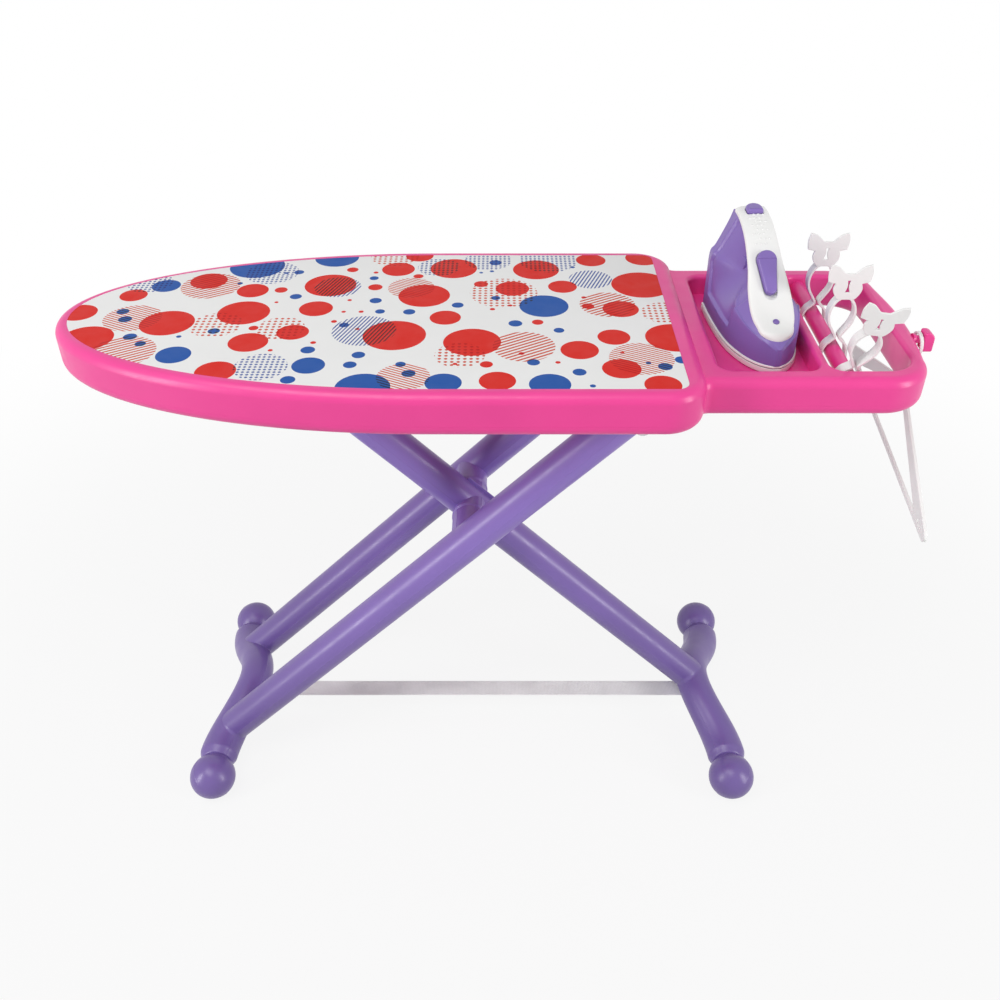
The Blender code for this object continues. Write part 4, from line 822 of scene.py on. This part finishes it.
def bar_radius(y):
    """The bar is thickest at the shoulders and drawn in at the necks."""
    share = min(abs(y) / BAR_REACH, 1.0)
    swell = math.sin(math.pi * min(share, 0.88) / 1.76) ** 4
    radius = BAR_RADIUS + (BAR_SHOULDER_RADIUS - BAR_RADIUS) * swell
    return radius + (BAR_NECK_RADIUS - radius) * smoothstep(0.90, 1.0, share)


def bar_stations():
    """Places along a foot bar, each with how far its radius is drawn in there to round the ends."""
    steps = 84
    inner = BAR_REACH - BAR_LIP
    middle = [(inner * (2 * i / steps - 1), 0.0) for i in range(steps + 1)]
    lip = arc((inner, BAR_LIP), BAR_LIP, BAR_LIP, -90, 0, 4)[1:]
    return [(-y, shrink) for y, shrink in reversed(lip)] + middle + lip


def make_bar(name, foot_z, body, node, place):
    """A bent foot bar with rounded ends and a mould seam in its plane."""
    rings = []
    step = 0.0005
    for y, shrink in bar_stations():
        slope = (bar_rise(y + step) - bar_rise(y - step)) / (2 * step)
        along = Vector((0.0, 1.0, slope)).normalized()
        out = Vector((0.0, -along.z, along.y))
        centre = Vector((0.0, y, foot_z + bar_rise(y)))
        radius = bar_radius(y) - shrink
        ring = []
        for angle, lift in seamed_ring():
            across = Vector((math.cos(angle), 0.0, 0.0))
            ring.append(centre + (across + out * math.sin(angle)) * (radius + lift))
        rings.append(ring)
    finish(loft(name, rings), body, body, [node], place)


def make_balls(name, foot_z, body, place):
    """The push-in ball feet, each with a seating collar towards its bar."""
    collar, seat, point = 0.0146, -0.0186, 0.00001
    ball = arc((0.0, 0.0), BALL_RADIUS, BALL_RADIUS, 90, -54, 26)
    profile = [(max(radius, point), height) for radius, height in ball]
    profile += [(collar, seat + 0.0004), (collar, seat - 0.002), (point, seat - 0.002)]
    for side, label in FRONT_REAR:
        rings = []
        for radius, height in profile:
            ring = []
            for angle, lift in seamed_ring():
                reach = radius + (lift if radius > BALL_RADIUS * 0.3 and height > seat else 0.0)
                x, z = reach * math.sin(angle), reach * math.cos(angle)
                ring.append((x, side * (HALF_FOOT + height), foot_z + z))
            rings.append(ring)
        finish(loft(f"{name}_ball_foot_{label}", rings), body, body, [f"{name}_ball_{label}"], place)


def neck_rings(radius, fillet, surface, top):
    """Rings of a round neck that rises along Z to a height, flared where it meets a surface below it."""
    rings = []
    heights = [-0.3] + [1.0 - math.cos(math.pi / 2 * i / 9) for i in range(10)]
    for height in heights:
        ring = []
        for angle, lift in seamed_ring():
            flare = fillet * math.sin(angle) ** 2
            rise = height * flare
            spread = flare - math.sqrt(max(flare * flare - (flare - max(rise, 0.0)) ** 2, 0.0))
            reach = radius + spread + lift * smoothstep(0.5, 1.0, height)
            x, y = reach * math.cos(angle), reach * math.sin(angle)
            ring.append((x, y, surface(x, y) + rise))
        rings.append(ring)
    rings.append(seamed_circle(radius, top))
    return rings


def make_tube(name, y, top_z, foot_z, body, node, place):
    """A leg tube with a domed top that runs into its foot bar."""

    def bar_top(across, along):
        """The height of the bar's upper side under the tube."""
        where = y + along
        radius = bar_radius(where)
        return foot_z + bar_rise(where) + math.sqrt(max(radius * radius - across * across, 0.0))

    rings = neck_rings(TUBE_RADIUS, JOINT_FILLET, bar_top, top_z)
    for shrink, height in arc((0.0, top_z), 1.0, TUBE_RADIUS, 0, 89, 9)[1:]:
        rings.append([(x * shrink, y * shrink, z) for x, y, z in seamed_circle(TUBE_RADIUS, height)])
    tube = loft(name, rings)
    tube.data.transform(Matrix.Translation((0.0, y, 0.0)))
    finish(tube, body, body, [node], place)


def make_boss(name, tube_y, face_y, pivot_z, body, node, place, fin=None):
    """A pivot boss that grows out of a tube to its bearing face, with a raised bearing lip."""
    length = abs(face_y - tube_y)
    lip = 0.0006

    def tube_side(_, across):
        """How far the tube's side stands out beside its middle line."""
        return math.sqrt(max(TUBE_RADIUS * TUBE_RADIUS - across * across, 0.0))

    rings = neck_rings(BOSS_RADIUS - lip, BOSS_FILLET, tube_side, length - 0.0022)
    for radius, height in (
        (BOSS_RADIUS, length - 0.0016),
        (BOSS_RADIUS, length - 0.0005),
        (BOSS_RADIUS - 0.0005, length - HAIRLINE),
        (0.0042, length - HAIRLINE),
    ):
        rings.append([(radius * math.cos(a), radius * math.sin(a), height) for a, _ in seamed_ring()])
    boss = loft(name, rings)
    side = 1.0 if face_y > tube_y else -1.0
    turn = Matrix(((0.0, side, 0.0), (0.0, 0.0, side), (1.0, 0.0, 0.0))).to_4x4()
    boss.data.transform(Matrix.Translation((0.0, tube_y, pivot_z)) @ turn)
    if fin:
        combine(boss, "UNION", fin)
    finish(boss, body, body, [node], place)


def pivot_fin():
    """The thin stiffening fin that stands out from leg B over the pivot."""
    reach, length = TUBE_RADIUS + 0.0033, 0.0210
    low = (0.010, 0.0030, -UPPER_LEG - length)
    return block("pivot_fin", low, (reach, 0.0046, -UPPER_LEG + length), 0.0006)


def make_legs():
    """Leg B with one tube and leg A with two, with their feet and pivot bosses."""
    foot_b = -UPPER_LEG - LOWER_LEG
    make_tube("leg_b_pole", 0.0, 0.0, foot_b, "leg_b", "leg_b_tube", LEG_B)
    make_bar("right_foot_rail", foot_b, "leg_b", "right_foot_bar", LEG_B)
    make_balls("right_foot", foot_b, "leg_b", LEG_B)
    make_bar("left_foot_rail", -LOWER_LEG, "leg_a", "left_foot_bar", LEG_A)
    make_balls("left_foot", -LOWER_LEG, "leg_a", LEG_A)
    for side, end in FRONT_REAR:
        y = side * TUBE_Y
        face = side * BOSS_FACE
        make_tube(f"leg_a_pole_{end}", y, UPPER_LEG, -LOWER_LEG, "leg_a", f"leg_a_tube_{end}", LEG_A)
        make_boss(f"leg_a_hub_{end}", y, face, 0.0, "leg_a", f"leg_a_boss_{end}", LEG_A)
        make_boss(
            f"leg_b_hub_{end}", 0.0, face, -UPPER_LEG, "leg_b", f"leg_b_boss_{end}", LEG_B,
            pivot_fin() if side > 0 else None,
        )


def make_strap():
    """The webbing strap between the foot bars, stretched flat, with a bead of selvedge along each edge."""
    low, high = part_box("leg_strap")
    middle = (low.z + high.z) / 2
    half = STRAP_WIDTH / 2
    thin = STRAP_THICKNESS * 0.36
    bead = STRAP_THICKNESS * 0.5
    upper = [(-half, 0.0), (-half + 0.0004, bead * 0.8), (-half + 0.0010, bead), (-half + 0.0019, thin)]
    upper += [(-y, z) for y, z in reversed(upper[1:])]
    section = upper + [(half, 0.0)] + [(-y, -z) for y, z in upper[1:]]
    places = [low.x + (high.x - low.x) * i / 120 for i in range(121)]
    strap = loft("foot_strap", [[(x, y, middle + z) for y, z in section] for x in places])
    finish(strap, "strap", "leg_b", ["leg_strap"], Matrix.Identity(4), 60.0)
    left = Vector(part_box("strap_screw_left")[0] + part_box("strap_screw_left")[1]) / 2
    right = Vector(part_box("strap_screw_right")[0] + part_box("strap_screw_right")[1]) / 2
    left.z = right.z = middle
    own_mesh(strap)


# Toy iron


def station(y):
    """The iron's sizes at a place along it, on a smooth curve through the stations."""
    last = len(IRON_STATIONS) - 1
    k = 0
    while k < last - 1 and y > IRON_STATIONS[k + 1][0]:
        k += 1
    before, first, second, after = (IRON_STATIONS[max(0, min(last, k + i))] for i in (-1, 0, 1, 2))
    span = second[0] - first[0]
    t = (y - first[0]) / span
    weights = (2 * t**3 - 3 * t**2 + 1, t**3 - 2 * t**2 + t, 3 * t**2 - 2 * t**3, t**3 - t**2)
    values = []
    for i in range(1, len(first)):
        rise_1 = (second[i] - before[i]) / (second[0] - before[0]) * span
        rise_2 = (after[i] - first[i]) / (after[0] - first[0]) * span
        parts = (first[i], rise_1, second[i], rise_2)
        values.append(sum(weight * part for weight, part in zip(weights, parts)))
    return values


def recess_reach(y, z):
    """How far a point of the side lies inside the hollow's rim, with its corners sharp and rounded off."""
    reaches = []
    for start, end in zip(IRON_RECESS, IRON_RECESS[1:]):
        along = (Vector(end) - Vector(start)).normalized()
        reaches.append((Vector((y, z)) - Vector(start)).cross(along))
    rounding = 0.007
    return min(reaches), -rounding * math.log(sum(math.exp(-reach / rounding) for reach in reaches))


def hollowed(x, y, z):
    """A side point drawn in by a step at the hollow's rim and a slope down to the handle's core."""
    sharp, rounded = recess_reach(y, z)
    step = min(IRON_RECESS_STEP, max(x - IRON_RECESS_CORE, 0.0))
    rest = max(x - step - IRON_RECESS_CORE, 0.0)
    x -= step * smoothstep(0.0, IRON_RECESS_RIM, sharp)
    return x - rest * smoothstep(0.0, IRON_RECESS_SLOPE, rounded)


def iron_section(y, side):
    """The outline of one half of the body, from the keel round the side to the middle of the deck."""
    half, shoulder, cover, top = station(y)
    floor = IRON_SOLE_THICKNESS + HAIRLINE
    deck = top - IRON_COVER_THICKNESS
    half = max(half, 0.0006)
    cover = min(max(cover, 0.0004), half)
    shoulder = min(shoulder, deck - 0.002)
    rise = deck - shoulder
    side_line = [
        (half * 0.985, floor),
        (half, floor + 0.002),
        (half, shoulder * 0.6 + floor * 0.4),
        (half * 0.985, shoulder),
        (half + (cover - half) * 0.30, shoulder + rise * 0.20),
        (half + (cover - half) * 0.80, shoulder + rise * 0.72),
        (cover, deck),
    ]
    points = [Vector((0.0, floor))] + smooth_line(side_line, 22) + [Vector((0.0, deck))]
    return [(side * (hollowed(point.x, y, point.y) + HAIRLINE), y, point.y) for point in points]


def iron_places(steps, crowding):
    """Places from the nose to the heel, closer together towards the nose."""
    shares = [i / steps * (1 - crowding + crowding * i / steps) for i in range(steps + 1)]
    return [IRON_NOSE + (IRON_HEEL - IRON_NOSE) * share for share in shares]


def make_iron_body():
    """The two purple halves of the iron."""
    for side, name in LEFT_RIGHT:
        rings = [iron_section(y, side) for y in iron_places(170, 0.2)]
        finish(loft(f"iron_shell_{name}", rings), "iron", "iron", [f"iron_body_{name}"], IRON, 42.0)


def sole_ring(inset, z):
    """The soleplate's outline at one height, drawn in by an inset."""
    outline = []
    for y in iron_places(60, 0.4):
        half = max(station(y)[0] + IRON_SOLE_OVERHANG - inset, 0.0003)
        outline.append((half, min(max(y, IRON_NOSE + inset), IRON_HEEL - inset), z))
    return outline + [(-x, y, z) for x, y, z in reversed(outline)]


def make_iron_sole():
    """The white soleplate with a groove round its rim, whose upright faces are painted shade grey."""
    groove = 0.0011
    profile = (
        (0.0014, 0.0), (0.0004, 0.0005), (0.0, 0.0013), (0.0, 0.0043), (0.0002, 0.0047),
        (groove, 0.0048), (groove, 0.0057), (0.0002, 0.0058), (0.0, 0.0062), (0.0003, 0.0071),
        (0.0010, 0.0075),
    )
    sole = loft("iron_sole", [sole_ring(inset, z) for inset, z in profile])
    finish(sole, "white", "iron", ["iron_soleplate"], IRON, 30.0)
    # Painted shade: the groove's upright faces take a dark grey.
    sole.data.materials.append(MATERIALS["groove_painted_shade"])
    for face in sole.data.polygons:
        if 0.0048 <= face.center.z <= 0.0057 and abs(face.normal.z) < 0.9:
            face.material_index = 1


def cover_half(y):
    """The cover's half width, rounded off to a U at the front."""
    share = min((y - IRON_COVER_START) / IRON_COVER_FRONT, 1.0)
    full = station(max(y, IRON_COVER_START + IRON_COVER_FRONT))[2]
    return max(full * math.sqrt(max(1.0 - (1.0 - share) ** 2, 0.0)), 0.0005)


def cover_surface(share, y):
    """A point on the white cover's dome, from its left edge at -1 to its right edge at 1."""
    top = station(y)[3]
    height = IRON_COVER_THICKNESS - HAIRLINE
    turn = math.acos(max(-1.0, min(1.0, share)))
    return Vector((cover_half(y) * share * 1.03, y, top - height + height * math.sin(turn) ** 0.55))


def cover_ring(y):
    """One section of the cover, lower towards its front and heel."""
    steps = 28
    deck = station(y)[3] - IRON_COVER_THICKNESS + HAIRLINE
    front = 1.0 - min((y - IRON_COVER_START) / IRON_COVER_EDGE, 1.0)
    heel = smoothstep(IRON_COVER_END - IRON_COVER_EDGE, IRON_COVER_END, y)
    rise = max(math.sqrt(1.0 - front * front), 0.1) * (1.0 - 0.85 * heel)
    points = []
    for i in range(steps + 1):
        point = cover_surface(math.cos(math.pi * i / steps), y)
        point.z = deck + (point.z - deck) * rise
        point.x *= 1.0 - 0.2 * heel
        points.append(point)
    return points


def on_slope(y):
    """The cover's top at a place along the iron, as a frame with Z square to the slope."""
    step = 0.004
    slope = math.atan2(station(y + step)[3] - station(y - step)[3], 2 * step)
    place = Matrix.Translation((0.0, y, station(y)[3]))
    return place @ Matrix.Rotation(slope, 4, "X")


def slider_outline(grow, stretch=0.0):
    """The slider seen from above, narrow towards the nose, where it may be stretched."""
    half, broad, tail = 0.0200, 0.0085, 0.00525
    top = arc((0.0, half - broad), broad + grow, broad + grow, 0, 180, 20)
    low = arc((0.0, -half + tail - stretch), tail + grow, tail + grow, 180, 360, 16)
    return top + low


def button_outline(grow):
    """The steam button seen from above: straight in front and round towards the heel."""
    half_x, half_y = (half + grow for half in IRON_BUTTON_HALF)
    corner = 0.0020
    return (
        arc((half_x - corner, -half_y + corner), corner, corner, 270, 360, 5)
        + arc((0.0, 0.0), half_x, half_y, 0, 180, 20)
        + arc((-half_x + corner, -half_y + corner), corner, corner, 180, 270, 5)
    )


def make_iron_cover():
    """The white handle cover, with wells for its controls."""
    steps = 96
    rings = []
    for i in range(steps + 1):
        share = (1 - math.cos(math.pi * i / steps)) / 2
        rings.append(cover_ring(IRON_COVER_START + (IRON_COVER_END - IRON_COVER_START) * share))
    cover = loft("iron_handle_cover", rings)
    above, clearance = 0.02, 0.0004
    slot = slider_outline(clearance * 1.6, IRON_SLIDER_TRAVEL)
    wells = []
    for name, outline, low, high, y in (
        ("button_well", button_outline(clearance), -0.010, 0.010, IRON_BUTTON_PLACE),
        ("slider_well", slot, -0.0024, above, IRON_SLIDER_PLACE),
        ("lens_well", circle(0.0029, 36), -0.0022, above, IRON_LIGHT_PLACE),
    ):
        wells.append(plate(name, [outline], low, high))
        wells[-1].data.transform(on_slope(y))
    combine(cover, "DIFFERENCE", *wells)
    finish(cover, "white", "iron", ["iron_top_cover"], IRON, 40.0)


def grip_dot(share, y):
    """Rings of a low dome on the cover."""
    radius, height = 0.0011, 0.00045
    place = cover_surface(share, y)
    across = (cover_surface(share + 0.02, y) - place).normalized()
    along = (cover_surface(share, y + 0.001) - place).normalized()
    up = across.cross(along)
    rings = []
    for reach, rise in ((1.0, -0.3), (0.92, 0.45), (0.62, 0.85), (0.05, 1.0)):
        centre = place + up * height * rise
        rings.append([centre + (across * x + along * y) * radius for x, y in circle(reach, 10)])
    return rings


def make_grip_dots():
    """Staggered rows of grip dots along the handle."""

    def build(shape):
        """Fills the mesh with the dots."""
        for row in range(8):
            for column in (-1, 0, 1):
                stagger = 0.15 if row % 2 else -0.15
                skin(shape, grip_dot(0.30 * column + stagger, 0.0130 + 0.0042 * row))

    finish(mesh_object("iron_grip_dots", build), "white", "iron", [], IRON, 60.0)


def make_iron_controls():
    """The steam button and the temperature slider with its raised thumb rest."""
    sunk, proud = 0.0022, 0.0036
    button = plate("steam_cap", [button_outline(0.0)], -sunk, proud, 0.0024, 6)
    finish(button, "iron", "steam_button", ["iron_steam_button"], IRON @ on_slope(IRON_BUTTON_PLACE), 50.0)
    slider = plate("temperature_slider", [slider_outline(0.0)], -sunk, proud, 0.0016, 4)
    thumb_line = 0.0100
    head = [point for point in slider_outline(-0.0005) if point[1] > thumb_line]
    thumb = plate("slider_thumb", [head], -sunk * 0.5, proud + 0.0007, 0.0010, 3)
    combine(slider, "UNION", thumb)
    place = IRON @ on_slope(IRON_SLIDER_PLACE)
    finish(slider, "iron", "slider_button", ["iron_slider_button"], place, 40.0)


def make_iron_trim():
    """The indicator lens and the screw bosses in the hollows."""
    lens = loft("indicator_lens", [[(x, y, z) for x, y in circle(radius, 30)] for radius, z in IRON_LENS])
    finish(lens, "iron", "iron", ["iron_indicator"], IRON @ on_slope(IRON_LIGHT_PLACE), 40.0)
    screw_y, screw_z = IRON_SCREW_PLACE
    for side, name in LEFT_RIGHT:
        rings = []
        for radius, out in IRON_BOSS:
            rings.append([(side * out, screw_y + y, screw_z + z) for y, z in circle(radius, 30)])
        finish(loft(f"iron_boss_{name}", rings), "iron", "iron", [], IRON, 40.0)


# Clips and hanger


def band_outline(line, thickness):
    """The closed outline of a springy band that follows an open line, with rounded ends."""
    left, right = [], []
    last = len(line) - 1
    for i, point in enumerate(line):
        along = (line[min(i + 1, last)] - line[max(i - 1, 0)]).normalized()
        across = Vector((-along.y, along.x)) * thickness / 2
        left.append(point + across)
        right.append(point - across)
    return left + list(reversed(right))


def both_sides(half):
    """A half outline and its mirror image, as one closed outline."""
    return list(half) + [(-x, z) for x, z in reversed(half)]


def make_clips():
    """The springy clothes clips on the rail, each with a bow on top."""
    band = band_outline(smooth_line(both_sides(CLIP_LINE), 6), CLIP_BAND)
    half_bow = []
    for stretch in CLIP_BOW:
        half_bow += smooth_line(stretch, 5)[:-1]
    half_bow.append(CLIP_BOW[-1][-1])
    halves = (half_bow, smooth_line(CLIP_BOW_HOLE, 5))
    outlines = [[(x, z + CLIP_BOW_RISE) for x, z in both_sides(half)] for half in halves]
    front = CLIP_DEPTH / 2 + CLIP_BOW_PROUD
    for name, y, lean, pitch in CLIP_PLACES:
        clip = plate(name + "_spring", [band], -CLIP_DEPTH / 2, CLIP_DEPTH / 2, CLIP_EDGE, 2)
        combine(clip, "UNION", plate(name + "_bow", outlines, front - CLIP_BAND, front, CLIP_EDGE, 2))
        place = DATUM @ Matrix.Translation((RAIL_X, y, RAIL_Z))
        place = place @ Matrix.Rotation(math.radians(lean), 4, "Y")
        place = place @ Matrix.Rotation(math.radians(pitch), 4, "X")
        finish(upright(clip), "white", name, [name], place)


def make_hanger():
    """The toy clothes hanger, hung by its eye on the hook's arm."""
    eye_place = (0.0, -(HANGER_EYE_INNER - HOOK_ARM_RADIUS - GAP))
    outer = HANGER_EYE_INNER + HANGER_EYE_BAND
    open_angle = math.degrees(math.asin(HANGER_NECK / outer))
    corner = HANGER_TIP_HEIGHT / 2
    shoulder = [(HANGER_NECK, -HANGER_PEAK)]
    for x, z in ((1.0, 1.0), (0.3, 0.80), (0.0, 0.5), (0.15, 0.15), (0.5, 0.0)):
        shoulder.append((HANGER_HALF_SPAN - corner * x, -HANGER_TIP + HANGER_TIP_HEIGHT * z))
    fall = HANGER_TIP - HANGER_TIP_HEIGHT - HANGER_PEAK
    slope = math.atan2(fall, HANGER_HALF_SPAN - corner - HANGER_NECK)
    floor = -HANGER_TIP + HANGER_BAND
    peak = -HANGER_PEAK - HANGER_BAND / math.cos(slope)
    opening = [(0.0, peak), (-HANGER_INNER_HALF, floor), (HANGER_INNER_HALF, floor)]
    eye = arc(eye_place, outer, outer, 89.5, -90 + open_angle, 28)
    outlines = [
        both_sides(eye + shoulder),
        circle(HANGER_EYE_INNER, 48, eye_place),
        opening,
        HANGER_SLOT,
        [(-x, z) for x, z in HANGER_SLOT],
    ]
    hanger = plate("clothes_hanger", outlines, -HANGER_THICKNESS / 2, HANGER_THICKNESS / 2, HANGER_ROLL, 3)
    upright(hanger)
    hanger.data.transform(Matrix.Rotation(HANGER_TILT, 4, "X") @ Matrix.Rotation(math.pi / 2, 4, "Z"))
    finish(hanger, "white", "hanger", ["toy_hanger"], HANGER)


def dress_cad_nodes():
    """The CAD nodes that stay in view take the scene's materials."""
    looks = {"hinge_bracket": "pink", "slide_rail": "pink", "slider_cap": "white"}
    for name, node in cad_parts.items():
        if node.hide_render:
            continue
        look = next((look for start, look in looks.items() if name.startswith(start)), "steel")
        node.data.materials.clear()
        node.data.materials.append(MATERIALS[look])


# Camera, floor and light


def make_camera():
    """The camera, at the photo's angle."""
    camera = placed("camera", bpy.data.cameras.new("camera"))
    camera.data.lens = 36.0
    camera.data.sensor_width = 36.0
    camera.location = DATUM @ Vector(CAMERA_PLACE)
    camera.rotation_euler = (CAMERA_TILT, 0.0, 0.0)
    bpy.context.scene.camera = camera


def seen_directly(tree):
    """1 for rays from the camera, from gloss or through glass, and 0 for the rays that light things."""
    path = added(tree, "LightPath")
    shown = maths(tree, "MAXIMUM", path.outputs["Is Camera Ray"], path.outputs["Is Glossy Ray"])
    return maths(tree, "MAXIMUM", shown, path.outputs["Is Transmission Ray"])


def make_floor():
    """A plain floor that keeps a soft share of the object's shadow and fades to white away from it."""
    size = {"x_segments": 2, "y_segments": 2, "size": FLOOR_HALF}
    floor = mesh_object("floor", lambda shape: bmesh.ops.create_grid(shape, **size))
    made, tree, _ = new_material("floor")
    tree.nodes.clear()
    diffuse = added(tree, "BsdfDiffuse", Color=FLOOR_GREY)
    glow = added(tree, "Emission", Color=PURE_WHITE)
    blend = added(tree, "MixShader")
    away = added(tree, "VectorMath")
    away.operation = "LENGTH"
    tree.links.new(coordinates(tree)[3], away.inputs[0])
    glow_share = ranged(tree, away.outputs["Value"], 0.88, 1.0, 0.5, 1.3)
    tree.links.new(maths(tree, "MULTIPLY", seen_directly(tree), glow_share), blend.inputs[0])
    tree.links.new(diffuse.outputs[0], blend.inputs[1])
    tree.links.new(glow.outputs[0], blend.inputs[2])
    added(tree, "OutputMaterial", Surface=blend.outputs[0])
    floor.data.materials.append(made)


def make_world():
    """A white surround that lights the object with part of its strength."""
    world = bpy.data.worlds.new("studio")
    world.use_nodes = True
    tree = world.node_tree
    backdrop = tree.nodes["Background"]
    backdrop.inputs["Color"].default_value = PURE_WHITE
    strength = maths(tree, "ADD", maths(tree, "MULTIPLY", seen_directly(tree), 1.0 - AMBIENT), AMBIENT)
    tree.links.new(strength, backdrop.inputs["Strength"])
    bpy.context.scene.world = world


def make_light(name, place, size, power):
    """An area lamp that faces the object."""
    light = placed(name, bpy.data.lights.new(name, "AREA"))
    light.data.shape = "RECTANGLE"
    light.data.size, light.data.size_y = size
    light.data.energy = power
    light.location = place
    light.rotation_euler = (Vector(LAMP_AIM) - Vector(place)).to_track_quat("-Z", "Y").to_euler()


def make_studio():
    """Floor, surround, a key lamp above and a strip lamp at each side."""
    make_floor()
    make_world()
    make_light("key", (-0.6, -0.9, 2.3), (1.6, 1.0), 20.5)
    for side, name in LEFT_RIGHT:
        make_light(name + "_strip", (1.7 * side, -0.95, 0.75), (0.35, 1.3), 17.0)
    bpy.context.scene.view_settings.view_transform = "Standard"


make_camera()
make_top_shell()
make_base_shell()
make_cover()
make_hook()
make_legs()
make_strap()
make_iron_body()
make_iron_sole()
make_iron_cover()
make_grip_dots()
make_iron_controls()
make_iron_trim()
make_clips()
make_hanger()
dress_cad_nodes()
make_studio()
